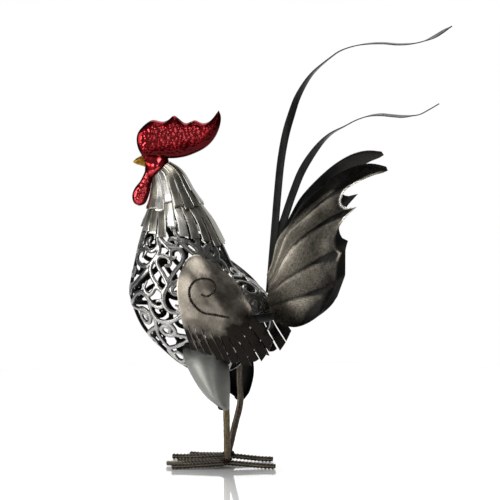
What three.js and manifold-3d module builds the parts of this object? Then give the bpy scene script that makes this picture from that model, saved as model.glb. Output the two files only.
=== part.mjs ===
// A tabletop rooster welded together from scrap metal: a hammered comb and wattle on a domed head, two tiers
// of cut neck feathers, an openwork body pressed in two halves, fringed wings, spoon shaped thighs,
// bent rod legs and toes, two sickle shaped tail plates and two long twisted ribbons.
// Units are millimetres. The rooster faces -X, its left side is -Y, and it stands on Z = 0.
import * as THREE from "three";
import Module from "manifold-3d";

const wasm = await Module();
wasm.setup();

// Driving dimensions
const HEIGHT = 506; // floor to the tip of the long tail ribbon
const GAP = 0.3; // between two pieces that touch

const HEAD_HALF_THICKNESS = 14;
const COMB_HALF_THICKNESS = 7;
const WATTLE_HALF_THICKNESS = 6.5;
const BEAK_HALF_WIDTH = 5;
const BEAK_HALF_HEIGHT = 6.5; // at its root
const BEAK_ARCH = 1.6; // how far the beak's middle bows up
const SEAT_DEPTH = 3; // how far the comb sinks into the head

const FEATHER_SHEET = 1.5;
const UPPER_FEATHERS = 18;
const LOWER_FEATHERS = 22;
const FEATHER_SLIT = 0.14; // share of a feather's pitch
const LOWER_TIER_CLEARANCE = 1.3; // over the openwork, where flat feathers bridge its curve
const UPPER_TIER_CLEARANCE = 0.9; // over the lower tier, for the same reason

const VINE_WIDTH = 5;
const VINE_THICKNESS = 3;
const RIM_WIDTH = 4;
const RIM_THICKNESS = 3.4;

const WING_SHEET = 1.6;
const WING_FEATHERS = 10;
const WING_SLIT = 0.12; // share of a wing feather's pitch
const WING_BULGE = 20;
const WING_STAND_OFF = 50; // from the middle plane to the rim of the wing's dome
const WING_TUCK = 33; // how far the wing's upper rear edge turns in towards the body
const WING_CLEARANCE = 1.3; // over the openwork

const THIGH_SHEET = 1.6;
const THIGH_BULGE = 13;
const THIGH_CLEARANCE = 1; // over the openwork
const THIGH_RIM = 31; // from the middle plane to the front rim's top
const THIGH_REAR_RIM = 36.4; // and to the rear rim and the tip
const RIGHT_THIGH_SETBACK = 9;
const THIGH_UNDER_WING = 0.8; // share of the thigh's bulge that the wing's fringe passes over
const FRINGE_CLEARANCE = 0.9; // between that part of the thigh and the fringe

const LEG_RADIUS = 3.9;
const LEG_SEAT_CLEARANCE = 0.5; // between a leg's top and the openwork
const TOE_RADIUS = 3.4;
const ANKLE_LIFT = 2.5; // the toes' arch under the ankle
const TOE_FLAT = 13; // length of each toe tip that lies on the floor
const STANCE = 24; // from the middle plane to each ankle

const TAIL_SHEET = 1.6;
const TAIL_SEAT_CLEARANCE = 1.1; // between a tail plate's base and the body
const TAIL_FLARE = 27; // how far a tail plate leans out at its outer edge
const TAIL_CREASE = 3.5; // how far a tail plate bulges between its creases
const FAR_TAIL_TURN = 5; // degrees that the right plate stands higher than the left one
const FAR_TAIL_SETBACK = 6;
const RIBBON_WIDTH = 9;
const RIBBON_SHEET = 1.3;
const TAB_SHEET = 2;
const TAB_WIDTH = 12;
const TAB_STAND_OFF = 5; // clear of the tail plate's bulge

// The free form is drawn in millimetres of a figure DRAWN_HEIGHT tall, with X measured from the ankles.
const DRAWN_HEIGHT = 506;
const SCALE = HEIGHT / DRAWN_HEIGHT;
const LEFT = -1;
const RIGHT = 1;
const at = (x, y, z) => new THREE.Vector3(x, y, z).multiplyScalar(SCALE);
const profile = (pairs) => pairs.map(([x, z]) => at(x, 0, z));
const curve = (points) => new THREE.CatmullRomCurve3(points, false, "catmullrom");
const outline = (pairs) => curve(profile(pairs));
const mix = (a, b, t) => a + (b - a) * t;
const mixed = (a, b, t) => a.clone().lerp(b, t);
const clamp01 = (t) => Math.min(Math.max(t, 0), 1);
const steps = (count) => Array.from({ length: count + 1 }, (_, i) => i / count);

// Solids

// A solid from its corners and triangles, turned so that its faces point outwards.
function solid(corners, triangles) {
  let volume = 0;
  for (let i = 0; i < triangles.length; i += 3) {
    const [a, b, c] = [corners[triangles[i]], corners[triangles[i + 1]], corners[triangles[i + 2]]];
    volume += a.dot(b.clone().cross(c));
  }
  const facing = volume < 0 ? triangles.slice().reverse() : triangles;
  const vertProperties = new Float32Array(corners.flatMap((corner) => corner.toArray()));
  return new wasm.Manifold(new wasm.Mesh({ numProp: 3, vertProperties, triVerts: new Uint32Array(facing) }));
}

// A skin over rings of points. An end ring of one point is a tip, and a longer one is closed flat.
function loft(rings) {
  const corners = rings.flat();
  const triangles = [];
  const first = [];
  rings.reduce((start, ring, i) => {
    first[i] = start;
    return start + ring.length;
  }, 0);
  const last = rings.length - 1;
  for (let i = 0; i < last; i += 1) {
    const j = i + 1;
    const count = Math.max(rings[i].length, rings[j].length);
    for (let k = 0; k < count; k += 1) {
      const next = (k + 1) % count;
      const low = rings[i].length === 1 ? [first[i], first[i]] : [first[i] + k, first[i] + next];
      const high = rings[j].length === 1 ? [first[j], first[j]] : [first[j] + k, first[j] + next];
      if (low[0] !== low[1]) triangles.push(low[0], low[1], high[0]);
      if (high[0] !== high[1]) triangles.push(low[1], high[1], high[0]);
    }
  }
  for (let k = 1; k < rings[0].length - 1; k += 1) triangles.push(first[0], first[0] + k + 1, first[0] + k);
  for (let k = 1; k < rings[last].length - 1; k += 1) {
    triangles.push(first[last], first[last] + k, first[last] + k + 1);
  }
  return solid(corners, triangles);
}

// A bar along a path: the section's [across, out] points stand on each path point, out along its normal.
function sweep(path, normals, section, sizeAt = () => 1) {
  const rings = path.map((point, i) => {
    const ahead = path[Math.min(i + 1, path.length - 1)];
    const behind = path[Math.max(i - 1, 0)];
    const along = ahead.clone().sub(behind).normalize();
    const out = normals[i].clone().addScaledVector(along, -normals[i].dot(along)).normalize();
    const across = along.clone().cross(out);
    const size = sizeAt(i / (path.length - 1));
    return section.map(([a, b]) => {
      return point.clone().addScaledVector(across, a * size).addScaledVector(out, b * size);
    });
  });
  return loft(rings);
}

// A bent sheet of metal over a grid of points, cut away wherever a cell isn't present.
function sheet({ grid, thickness, present = () => true, wrap = false }) {
  const rows = grid.length - 1;
  const width = grid[0].length;
  const columns = wrap ? width : width - 1;
  const column = (j) => (wrap ? (j + width) % width : Math.min(Math.max(j, 0), width - 1));
  const corners = [];
  grid.forEach((row, i) => {
    row.forEach((point, j) => {
      const up = grid[Math.min(i + 1, rows)][j].clone().sub(grid[Math.max(i - 1, 0)][j]);
      const over = row[column(j + 1)].clone().sub(row[column(j - 1)]);
      const half = over.cross(up).setLength(thickness / 2);
      corners.push(point.clone().add(half), point.clone().sub(half));
    });
  });
  const corner = (i, j, face) => 2 * (i * width + column(j)) + face;
  const has = (i, j) => {
    if (i < 0 || i >= rows) return false;
    if (!wrap && (j < 0 || j >= columns)) return false;
    return present(i, wrap ? column(j) : j);
  };
  const triangles = [];
  const quad = (a, b, c, d) => triangles.push(a, b, c, a, c, d);
  for (let i = 0; i < rows; i += 1) {
    for (let j = 0; j < columns; j += 1) {
      if (!has(i, j)) continue;
      quad(corner(i, j, 0), corner(i, j + 1, 0), corner(i + 1, j + 1, 0), corner(i + 1, j, 0));
      quad(corner(i, j, 1), corner(i + 1, j, 1), corner(i + 1, j + 1, 1), corner(i, j + 1, 1));
      const wall = (ia, ja, ib, jb) => {
        quad(corner(ib, jb, 0), corner(ia, ja, 0), corner(ia, ja, 1), corner(ib, jb, 1));
      };
      if (!has(i - 1, j)) wall(i, j, i, j + 1);
      if (!has(i, j + 1)) wall(i, j + 1, i + 1, j + 1);
      if (!has(i + 1, j)) wall(i + 1, j + 1, i + 1, j);
      if (!has(i, j - 1)) wall(i + 1, j, i, j);
    }
  }
  return solid(corners, triangles);
}

// A blunt, domed form over an outline in the middle plane. Its steps are [share of the outline, height].
const DOME = [
  [0.92, 0.6],
  [0.6, 0.96],
];
function dome(points, halfThickness, grow = 0) {
  const total = points.reduce((sum, point) => sum.add(point), new THREE.Vector3());
  const centre = total.divideScalar(points.length);
  const ring = (share, y) => {
    return points.map((point) => {
      const arm = point.clone().sub(centre);
      arm.setLength((arm.length() + grow) * share);
      return centre.clone().add(arm).setY(y);
    });
  };
  const height = halfThickness + grow;
  const side = (hand) => DOME.map(([share, rise]) => ring(share, hand * height * rise));
  const tip = (hand) => [centre.clone().setY(hand * height)];
  return loft([tip(LEFT), ...side(LEFT).reverse(), ring(1, 0), ...side(RIGHT), tip(RIGHT)]);
}

// A form between a lower and an upper edge in the middle plane, thickest between them.
const LENS_FULLNESS = 1.15; // how soon a lens reaches its full thickness from either end
const LENS = [
  [0.12, 0.6],
  [0.5, 1],
  [0.88, 0.6],
];
function lens(lower, upper, halfThickness, count) {
  const rings = steps(count).map((t, i) => {
    const [a, b] = [lower.getPoint(t), upper.getPoint(t)];
    if (i === 0 || i === count) return [mixed(a, b, 0.5)];
    const fullness = Math.min(1, Math.sqrt(Math.sin(Math.PI * t)) * LENS_FULLNESS);
    const half = halfThickness * fullness;
    const side = (hand) => LENS.map(([f, rise]) => mixed(a, b, f).setY(hand * half * rise));
    return [a, ...side(LEFT), b, ...side(RIGHT).reverse()];
  });
  return loft(rings);
}

const union = (solids) => solids.reduce((whole, piece) => whole.add(piece));

// The body's shape: half ellipses fan out from the breast and belly line to the neck and back line.
// Station 0 is at the throat and the last one at the vent.
const BREAST = [
  [-93, 330],
  [-93.5, 319],
  [-96, 304],
  [-100, 289],
  [-103, 277],
  [-108.5, 254],
  [-114.6, 227],
  [-119, 203],
  [-116, 184],
  [-104, 157.5],
  [-84, 136],
  [-56, 114],
  [-26, 104],
  [4, 111],
  [28, 134],
];
const BACK = [
  [-73, 352],
  [-56, 340],
  [-42, 316],
  [-31, 297],
  [-20, 278],
  [-8.6, 254],
  [4, 229],
  [17, 219],
  [29, 211],
  [38, 203],
  [43, 196],
  [46, 188],
  [47, 180],
  [47, 171],
  [45, 160],
];
const HALF_WIDTH = [10, 17, 24, 30, 36, 44, 51, 56, 58, 57, 54, 47, 37, 24, 11];
const STATIONS = BREAST.length - 1;
const breast = outline(BREAST);
const back = outline(BACK);
const flank = curve(HALF_WIDTH.map((y) => at(0, y, 0)));

// A point of the body: v counts stations down from the throat, u runs from the breast line (0) to the back
// line (1) over the left side, and on to the breast line again (2) over the right side.
function skin(v, u) {
  const t = clamp01(v / STATIONS);
  const [front, rear] = [breast.getPoint(t), back.getPoint(t)];
  const turn = Math.PI * u;
  const point = mixed(front, rear, (1 - Math.cos(turn)) / 2);
  return point.setY(-flank.getPoint(t).y * Math.sin(turn));
}
const NUDGE = 0.02; // of a station, for slopes
function slopes(v, u) {
  const [low, high] = [Math.max(v - NUDGE, 0), Math.min(v + NUDGE, STATIONS)];
  const down = skin(high, u).sub(skin(low, u)).divideScalar(high - low);
  const round = skin(v, u + NUDGE).sub(skin(v, u - NUDGE)).divideScalar(2 * NUDGE);
  return { down, round };
}
const outward = (v, u) => {
  const { down, round } = slopes(v, u);
  return round.cross(down).normalize().negate();
};
const over = (v, u, offset) => skin(v, u).addScaledVector(outward(v, u), offset);

// How far the body reaches sideways at a point of the side view, or 0 beside it.
const SCAN = steps(140).map((t) => t * STATIONS);
const BESIDE = 3; // a point whose nearest rib misses it by more than this is beside the body
function reach(x, z) {
  let best = { miss: Infinity, y: 0 };
  SCAN.forEach((v) => {
    const [front, rear] = [breast.getPoint(v / STATIONS), back.getPoint(v / STATIONS)];
    const chord = rear.clone().sub(front);
    const arm = new THREE.Vector3(x, 0, z).sub(front);
    const share = arm.dot(chord) / chord.lengthSq();
    const miss = arm.addScaledVector(chord, -share).length();
    const inside = share > 0 && share < 1;
    const y = inside ? flank.getPoint(v / STATIONS).y * 2 * Math.sqrt(share * (1 - share)) : 0;
    if (miss < best.miss) best = { miss, y };
  });
  return best.miss < BESIDE ? best.y : 0;
}

// The body as one closed solid between two stations, grown by an offset, for seating other pieces on it.
function bodyBlock(v0, v1, offsetAt, stations, round) {
  const rings = steps(stations).map((t) => {
    const v = mix(v0, v1, t);
    return steps(round)
      .slice(1)
      .map((u) => over(v, 2 * u, offsetAt(v)));
  });
  return loft(rings);
}

// Head

const FACE = profile([
  [-104.6, 357.5],
  [-95, 358.5],
  [-84, 356.5],
  [-74, 353],
  [-71.5, 347],
  [-74, 340.5],
  [-80, 336],
  [-86, 332.5],
  [-92.5, 329.5],
  [-98.5, 334],
  [-100.5, 342],
  [-103, 350],
]);
const faceBlock = (grow) => dome(FACE, HEAD_HALF_THICKNESS, grow);

const COMB_UNDERSIDE = outline([
  [-106, 359],
  [-103, 357.5 - SEAT_DEPTH / 2],
  [-96, 358.5 - SEAT_DEPTH],
  [-84, 357 - SEAT_DEPTH],
  [-72, 354.5],
  [-59.3, 354.5],
  [-47.5, 358],
  [-37, 363],
  [-27, 369.6],
  [-18.3, 378.3],
  [-12.6, 391.7],
  [-12, 409],
]);
const COMB_CREST = outline([
  [-106, 359],
  [-110, 372],
  [-105, 386],
  [-91, 397],
  [-81.5, 395],
  [-67, 402],
  [-52.5, 393.5],
  [-43, 397.3],
  [-32, 394],
  [-24, 396.5],
  [-18.5, 403],
  [-15, 409.5],
]);
const WATTLE_FRONT = outline([
  [-99, 339],
  [-103, 332.5],
  [-108.5, 323.5],
  [-114, 314],
  [-115.6, 306],
  [-109, 297.5],
]);
const WATTLE_BACK = outline([
  [-95, 337],
  [-94, 329],
  [-94.8, 321],
  [-97, 311],
  [-100.5, 303],
  [-106, 297.5],
]);

function combBlock() {
  return lens(COMB_UNDERSIDE, COMB_CREST, COMB_HALF_THICKNESS, 17).subtract(faceBlock(GAP));
}

function wattleBlock() {
  return lens(WATTLE_BACK, WATTLE_FRONT, WATTLE_HALF_THICKNESS, 9).subtract(faceBlock(GAP));
}

// The beak is a curved cone with its root inside the face.
const BEAK_ROOT = at(-98, 0, 350);
const BEAK_TIP = at(-115, 0, 348.6);
const BEAK_SECTIONS = [0.15, 0.4, 0.7, 1]; // shares of the way back from its tip
function beakBlock() {
  const section = (share) => {
    const middle = mixed(BEAK_TIP, BEAK_ROOT, share);
    middle.z += BEAK_ARCH * Math.sin(Math.PI * share);
    const tall = BEAK_HALF_HEIGHT * Math.sqrt(share);
    return steps(8)
      .slice(1)
      .map((turn) => {
        const angle = 2 * Math.PI * turn;
        const y = BEAK_HALF_WIDTH * Math.sqrt(share) * Math.cos(angle);
        return middle.clone().add(new THREE.Vector3(0, y, tall * Math.sin(angle)));
      });
  };
  return loft([[BEAK_TIP], ...BEAK_SECTIONS.map(section)]).subtract(faceBlock(GAP));
}

// Neck feathers: each tier is a sleeve slit into feathers that lie on the body's shape.

const COLLAR = 3.7; // station of the openwork's band that the lower feathers hide
const COLLAR_INSET = 1.4; // of that band behind the body's shape
const FLUSH = 5; // station where the openwork has come out to the body's shape
const UPPER_TOP = 0.1;
const UPPER_SLIT_TOP = 1.35;
const LOWER_TOP = 1.9;
const LOWER_SLIT_TOP = 3.3;
const LOWER_TOP_INSET = 3;
const THROAT_INSET = 1.5;

const openworkOffset = (v) => -COLLAR_INSET * clamp01((FLUSH - v) / (FLUSH - COLLAR));
function lowerOffset(v) {
  const onOpenwork = openworkOffset(Math.max(v, COLLAR)) + LOWER_TIER_CLEARANCE + FEATHER_SHEET / 2;
  return v > COLLAR ? onOpenwork : mix(-LOWER_TOP_INSET, onOpenwork, (v - LOWER_TOP) / (COLLAR - LOWER_TOP));
}
function upperOffset(v) {
  const onLower = lowerOffset(Math.max(v, LOWER_TOP)) + FEATHER_SHEET + UPPER_TIER_CLEARANCE;
  return v > LOWER_TOP ? onLower : mix(-THROAT_INSET, onLower, v / LOWER_TOP);
}

// The v of each feather's tip over the left side, from breast to back. The right side mirrors them.
const UPPER_TIPS = [2.5, 2.6, 2.6, 2.8, 2.3, 2.7, 2.95, 2.85, 2.75];
const LOWER_TIPS = [3.95, 4.1, 4.3, 4.4, 4.55, 4.05, 4.5, 4.6, 4.75, 5.0, 4.9];

const SLEEVE_ROWS = 2;
const FREE_ROWS = 2;
function tier({ feathers, tips, top, slit, offsetAt }) {
  const half = feathers / 2;
  const tipOf = (k) => tips[Math.floor(((k < half ? k : feathers - 1 - k) * tips.length) / half)];
  const edges = [];
  for (let k = 0; k < feathers; k += 1) edges.push({ k, u: (k + FEATHER_SLIT / 2) * (2 / feathers) });
  for (let k = 0; k < feathers; k += 1) edges.push({ k, u: (k + 1 - FEATHER_SLIT / 2) * (2 / feathers) });
  edges.sort((a, b) => a.u - b.u);
  const grid = steps(SLEEVE_ROWS + FREE_ROWS).map((_, i) => {
    return edges.map(({ k, u }) => {
      const free = (i - SLEEVE_ROWS) / FREE_ROWS;
      const v = i <= SLEEVE_ROWS ? mix(top, slit, i / SLEEVE_ROWS) : mix(slit, tipOf(k), free);
      return over(v, u, offsetAt(v));
    });
  });
  const present = (i, j) => i < SLEEVE_ROWS || j % 2 === 0;
  return sheet({ grid, thickness: FEATHER_SHEET, present, wrap: true });
}

function upperTier() {
  const [top, slit] = [UPPER_TOP, UPPER_SLIT_TOP];
  return tier({ feathers: UPPER_FEATHERS, tips: UPPER_TIPS, top, slit, offsetAt: upperOffset });
}

function lowerTier() {
  const [top, slit] = [LOWER_TOP, LOWER_SLIT_TOP];
  return tier({ feathers: LOWER_FEATHERS, tips: LOWER_TIPS, top, slit, offsetAt: lowerOffset });
}

// The head has a socket for the upper tier's sleeve, and closes it from above.
const SOCKET = { from: 0.02, to: 2, grid: [5, 20] }; // stations, rows and columns
function headBlock() {
  const socket = (v) => upperOffset(v) + FEATHER_SHEET / 2 + 2 * GAP;
  return faceBlock(0).subtract(bodyBlock(SOCKET.from, SOCKET.to, socket, ...SOCKET.grid));
}

// The station and the share round the body where each leg's top is welded on.
const LEG_SEAT = [12.6, 0.3];

// Body: two pressed openwork halves. A half is a rim along the middle plane and vines across it.

const CURL_FACETS = 5; // for each turn
const CURL_END = 0.3; // share of a curl's radius that is left at its end
const VINE_END = 0.7; // share of a vine's width at a curl's end
const VINE_TAPER = 1 / 3; // share of a vine over which it thins to that
const vineSection = [
  [-0.5, -1],
  [0.5, -1],
  [0, 0],
].map(([across, depth]) => [across * VINE_WIDTH, depth * VINE_THICKNESS]);

// A spiral that carries a vine's end on round a centre [v, u]. Hand +1 turns from the breast over the top
// to the back, as the left side is seen.
function curl(start, { centre, turns, hand }) {
  const { down, round } = slopes(...centre);
  const [perV, perU] = [down.length(), round.length()];
  const across = (start[1] - centre[1]) * perU;
  const below = (start[0] - centre[0]) * perV;
  const radius = Math.hypot(across, below);
  const from = Math.atan2(below, across);
  const count = Math.ceil(turns * CURL_FACETS);
  return steps(count)
    .slice(1)
    .map((t) => {
      const angle = from + hand * 2 * Math.PI * turns * t;
      const r = radius * mix(1, CURL_END, t);
      return [centre[0] + (r * Math.sin(angle)) / perV, centre[1] + (r * Math.cos(angle)) / perU];
    });
}

// A vine's path in [v, u]: an optional curl at its head, the stem's points, and an optional curl at its foot.
function vinePath({ head, stem, foot }) {
  const flat = curve(stem.map(([v, u]) => new THREE.Vector3(v, u, 0)));
  const count = Math.max(stem.length - 1, 2);
  const middle = flat.getPoints(count).map(({ x, y }) => [x, y]);
  const before = head ? curl(stem[0], head).reverse() : [];
  const after = foot ? curl(stem[stem.length - 1], foot) : [];
  return [...before, ...middle, ...after];
}

const VINES = [
  // Upper breast: a double scroll, a cane and a heart shaped pair that grow from one fork
  {
    head: { centre: [4.85, 0.31], turns: 1.1, hand: -1 },
    stem: [[4.9, 0.385], [5.4, 0.37], [5.75, 0.3], [5.8, 0.23]],
    foot: { centre: [5.45, 0.215], turns: 1.2, hand: 1 },
  },
  {
    stem: [[8.0, 0.375], [7.3, 0.41], [6.75, 0.445], [6.15, 0.42], [5.75, 0.375]],
    foot: { centre: [5.62, 0.43], turns: 0.8, hand: 1 },
  },
  {
    stem: [[6.75, 0.445], [6.2, 0.48], [5.85, 0.52], [5.4, 0.575]],
    foot: { centre: [5.28, 0.52], turns: 1.1, hand: -1 },
  },
  { stem: [[5.65, 0.33], [5.95, 0.32], [6.35, 0.345], [6.85, 0.385], [7.3, 0.41]] },
  { stem: [[6.55, 0.3], [6.9, 0.285], [7.35, 0.305], [7.2, 0.345], [6.85, 0.385]] },
  { stem: [[6.9, 0.04], [6.7, 0.165], [6.35, 0.24], [5.9, 0.3]], width: 1.3 },
  // Middle breast, down to the wing's front edge
  {
    stem: [[6.5, 0.52], [6.95, 0.445], [7.6, 0.404], [8.2, 0.387], [8.6, 0.41]],
    foot: { centre: [8.35, 0.445], turns: 0.7, hand: -1 },
  },
  { stem: [[6.7, 0.5], [7.15, 0.46], [7.55, 0.47], [7.6, 0.52]] },
  {
    stem: [[7.9, 0.04], [7.6, 0.15], [7.25, 0.21], [7.2, 0.26], [7.6, 0.3], [8.1, 0.33]],
    foot: { centre: [7.98, 0.36], turns: 0.8, hand: -1 },
  },
  { stem: [[7.85, 0.31], [8.5, 0.292], [8.95, 0.32], [9.0, 0.4], [8.7, 0.5]] },
  { stem: [[7.95, 0.03], [8.1, 0.14], [8.25, 0.21]], foot: { centre: [8.6, 0.22], turns: 1.3, hand: 1 } },
  // Belly
  { stem: [[8.95, 0.32], [9.1, 0.34]], foot: { centre: [9.42, 0.31], turns: 1.2, hand: 1 } },
  { stem: [[8.6, 0.292], [9.1, 0.262], [9.6, 0.225], [10.3, 0.19], [10.9, 0.12], [11.2, 0.03]] },
  { stem: [[9.1, 0.262], [9.3, 0.14], [9.6, 0.03]] },
  { stem: [[10.3, 0.42], [10.3, 0.3], [10.2, 0.2]], foot: { centre: [10.6, 0.2], turns: 1.1, hand: -1 } },
  { stem: [[9.7, 0.32], [10, 0.36], [10.3, 0.42], [10.3, 0.55]] },
  // Shoulder and back
  { stem: [[4.5, 0.36], [4.8, 0.42], [5.02, 0.475]], foot: { centre: [4.68, 0.5], turns: 0.9, hand: -1 } },
  { stem: [[4.7, 0.56], [5.05, 0.61], [5.4, 0.68]] },
  { stem: [[4.55, 0.53], [4.7, 0.62], [5.1, 0.69], [5.6, 0.73]] },
  { stem: [[COLLAR, 0.7], [4.4, 0.705], [5.2, 0.69], [5.7, 0.72], [6.3, 0.68], [7, 0.62]], width: 1.4 },
  { stem: [[5.7, 0.73], [5.62, 0.76]], foot: { centre: [5.2, 0.785], turns: 1.5, hand: -1 } },
  { stem: [[5.6, 0.745], [5.6, 0.86], [6, 0.88], [7, 0.83], [8, 0.78], [9, 0.72]] },
  { stem: [[5.58, 0.83], [5.9, 0.85]], foot: { centre: [5.95, 0.81], turns: 0.8, hand: 1 } },
  { stem: [[7.2, 0.99], [7.5, 0.95]], foot: { centre: [8.35, 0.865], turns: 1.5, hand: 1 } },
  { stem: [[9, 0.74], [9.5, 0.75]], foot: { centre: [10.05, 0.82], turns: 1.2, hand: 1 } },
  // Under the wing and over the thigh
  { stem: [[6.3, 0.68], [6.3, 0.6]], foot: { centre: [6.8, 0.58], turns: 0.8, hand: -1 } },
  { stem: [[8, 0.78], [8, 0.66], [8.3, 0.56]], foot: { centre: [8.75, 0.57], turns: 0.8, hand: 1 } },
  { stem: [[8.7, 0.46], [9.3, 0.45], [9.9, 0.5], [10.3, 0.55], [10.7, 0.68], [10.4, 0.8]] },
  { stem: [[10.3, 0.42], [10.8, 0.36]], foot: { centre: [11.25, 0.38], turns: 1.1, hand: 1 } },
  { stem: [[10.9, 0.12], [11.5, 0.22], [12, 0.4], [12, 0.6], [11.5, 0.72], [10.7, 0.68]] },
  { stem: [[11.5, 0.72], [11.8, 0.85], [12, 0.98]] },
  { stem: [[12, 0.6], [12.3, 0.45], LEG_SEAT, [12.8, 0.02]], width: 1.3 },
  // Ties between the collar and the scrolls below it
  { stem: [[COLLAR, 0.1], [4.3, 0.13], [5.2, 0.145]] },
  { stem: [[5.3, 0.02], [5.2, 0.145]] },
  { stem: [[COLLAR, 0.32], [4.3, 0.34], [4.55, 0.36], [4.95, 0.38]] },
  { stem: [[COLLAR, 0.52], [4.3, 0.52], [4.6, 0.56], [4.8, 0.6]] },
  { stem: [[COLLAR, 0.88], [4.4, 0.86], [4.85, 0.8]] },
];

function vine(side, shape) {
  const path = vinePath(shape);
  const place = ([v, u]) => (side === LEFT ? u : 2 - u);
  const points = path.map((p) => over(p[0], place(p), openworkOffset(p[0])));
  const normals = path.map((p) => outward(p[0], place(p)));
  const width = shape.width ?? 1;
  const section = vineSection.map(([across, depth]) => [across * width, depth]);
  const taper = (t) => {
    const ends = Math.min(shape.head ? t : 1, shape.foot ? 1 - t : 1);
    return mix(VINE_END, 1, Math.min(1, ends / VINE_TAPER));
  };
  return sweep(points, normals, section, taper);
}

const BODY_MIDDLE = at(-40, 0, 200);

// The rim follows the breast, belly, vent and back in the middle plane, with a band for a collar.
function rim(side) {
  const inset = side * (GAP / 2 + RIM_WIDTH / 2);
  const down = steps(15).map((t) => mix(COLLAR, STATIONS, t));
  const edge = (u) => down.map((v) => over(v, u, openworkOffset(v)));
  const vent = mixed(breast.getPoint(1), back.getPoint(1), 0.5);
  const points = [...edge(0), vent, ...edge(1).reverse()].map((point) => point.setY(inset));
  const normals = points.map((point, i) => {
    const ahead = points[Math.min(i + 1, points.length - 1)];
    const behind = points[Math.max(i - 1, 0)];
    const out = ahead.clone().sub(behind).cross(new THREE.Vector3(0, 1, 0)).normalize();
    return out.dot(point.clone().sub(BODY_MIDDLE)) < 0 ? out.negate() : out;
  });
  const [w, t] = [RIM_WIDTH / 2, RIM_THICKNESS];
  const section = [
    [-w, -t],
    [w, -t],
    [w, 0],
    [-w, 0],
  ];
  return sweep(points, normals, section);
}

const COLLAR_BAND = { from: 0.04, to: 0.96, width: 1.3 }; // round the neck, and its share of a vine's width
function half(side) {
  const band = steps(9).map((t) => [COLLAR, mix(COLLAR_BAND.from, COLLAR_BAND.to, t)]);
  const vines = [{ stem: band, width: COLLAR_BAND.width }, ...VINES].map((shape) => vine(side, shape));
  const far = HEIGHT;
  const wall = (y) => {
    return [
      [-far, -far],
      [far, -far],
      [far, far],
      [-far, far],
    ].map(([x, z]) => new THREE.Vector3(x, y, z));
  };
  const ownSide = loft([wall((side * GAP) / 2), wall(side * far)]);
  return union([rim(side), ...vines]).intersect(ownSide);
}

// Wings: a domed plate that ends in a fringe of feathers.

const SHOULDER = outline([
  [-43, 239],
  [-36, 245.5],
  [-30, 246],
  [-22, 242.5],
]);
const WING_MIDDLE = outline([
  [-51, 212],
  [-30, 213],
  [-8, 213],
  [13, 213],
]);
const FRINGE_ROOT = outline([
  [-44, 168],
  [-30, 164],
  [-10, 157],
  [9, 154],
  [24, 160],
  [38, 179],
]);
const FRINGE_END = outline([
  [-36, 139],
  [-25, 137.5],
  [-14, 131],
  [-1, 129],
  [9, 122.5],
  [22, 125],
  [38, 124],
  [49, 136],
  [57, 152],
]);

// How far the wing's sheet stands from the middle plane: a dome that is tucked in along its upper rear edge,
// or just clear of the body or of the thigh where that is further.
const WING_CROWN = { x: -5, z: 195, halfLength: 60, halfHeight: 62 };
const TUCK = { along: 0.73, up: 0.69, reach: 24 }; // its direction and how far from the crown it is full
const TUCK_RISE = { from: 180, to: 205 }; // heights between which it sets in
const THIGH_TOP = 150;
const ABOVE_THIGH = 8; // from there on up the fringe turns in again
const TURN_IN = 0.8; // as steeply as this
const THIGH_CROWN = (THIGH_REAR_RIM + THIGH_UNDER_WING * THIGH_BULGE) * SCALE;
const OVER_THIGH = THIGH_CROWN + THIGH_SHEET / 2 + FRINGE_CLEARANCE + WING_SHEET / 2;
function wingDepth(x, z) {
  const [dx, dz] = [x / SCALE - WING_CROWN.x, z / SCALE - WING_CROWN.z];
  const fall = (dx / WING_CROWN.halfLength) ** 2 + (dz / WING_CROWN.halfHeight) ** 2;
  const risen = clamp01((z / SCALE - TUCK_RISE.from) / (TUCK_RISE.to - TUCK_RISE.from));
  const tucked = WING_TUCK * risen * clamp01((dx * TUCK.along + dz * TUCK.up) / TUCK.reach) ** 2;
  const domed = (WING_STAND_OFF + WING_BULGE * (1 - fall) - tucked) * SCALE;
  const seated = reach(x, z) + WING_CLEARANCE + WING_SHEET / 2;
  const above = Math.max(z - (THIGH_TOP + ABOVE_THIGH) * SCALE, 0);
  return Math.max(domed, seated, OVER_THIGH - TURN_IN * above);
}

const WING_LEVELS = [0, 0.6, 1.2, 2, 2.5, 3]; // 1 is its middle line, 2 the fringe root and 3 the fringe end
const UNEVEN_TIPS = 0.08; // share of a feather's length
const UNEVEN_STEP = 2.4; // radians from feather to feather
const FAR_WING_SETBACK = 5;
const wingSetback = (side) => (side === LEFT ? 0 : FAR_WING_SETBACK * SCALE);
function wing(side) {
  const edges = [];
  for (let k = 0; k < WING_FEATHERS; k += 1) {
    edges.push((k + (k ? WING_SLIT / 2 : 0)) / WING_FEATHERS);
    edges.push((k + 1 - (k < WING_FEATHERS - 1 ? WING_SLIT / 2 : 0)) / WING_FEATHERS);
  }
  const rowAt = (t) => {
    return edges.map((s, j) => {
      const feather = Math.floor(j / 2);
      const uneven = 1 + UNEVEN_TIPS * Math.sin(feather * UNEVEN_STEP);
      const [a, b] = [WING_MIDDLE.getPoint(s), FRINGE_ROOT.getPoint(s)];
      if (t <= 1) return mixed(SHOULDER.getPoint(s), a, t);
      if (t <= 2) return mixed(a, b, t - 1);
      return mixed(b, FRINGE_END.getPoint(s), (t - 2) * uneven);
    });
  };
  const fringeStart = WING_LEVELS.indexOf(2);
  const grid = WING_LEVELS.map((t) => {
    return rowAt(t).map((point) => {
      point.x += wingSetback(side);
      return point.setY(side * wingDepth(point.x, point.z));
    });
  });
  const present = (i, j) => i < fringeStart || j % 2 === 0;
  return sheet({ grid, thickness: WING_SHEET, present });
}

// Legs and toes: bent rods, eight sided, with a flat side down where they lie on the floor.

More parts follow.
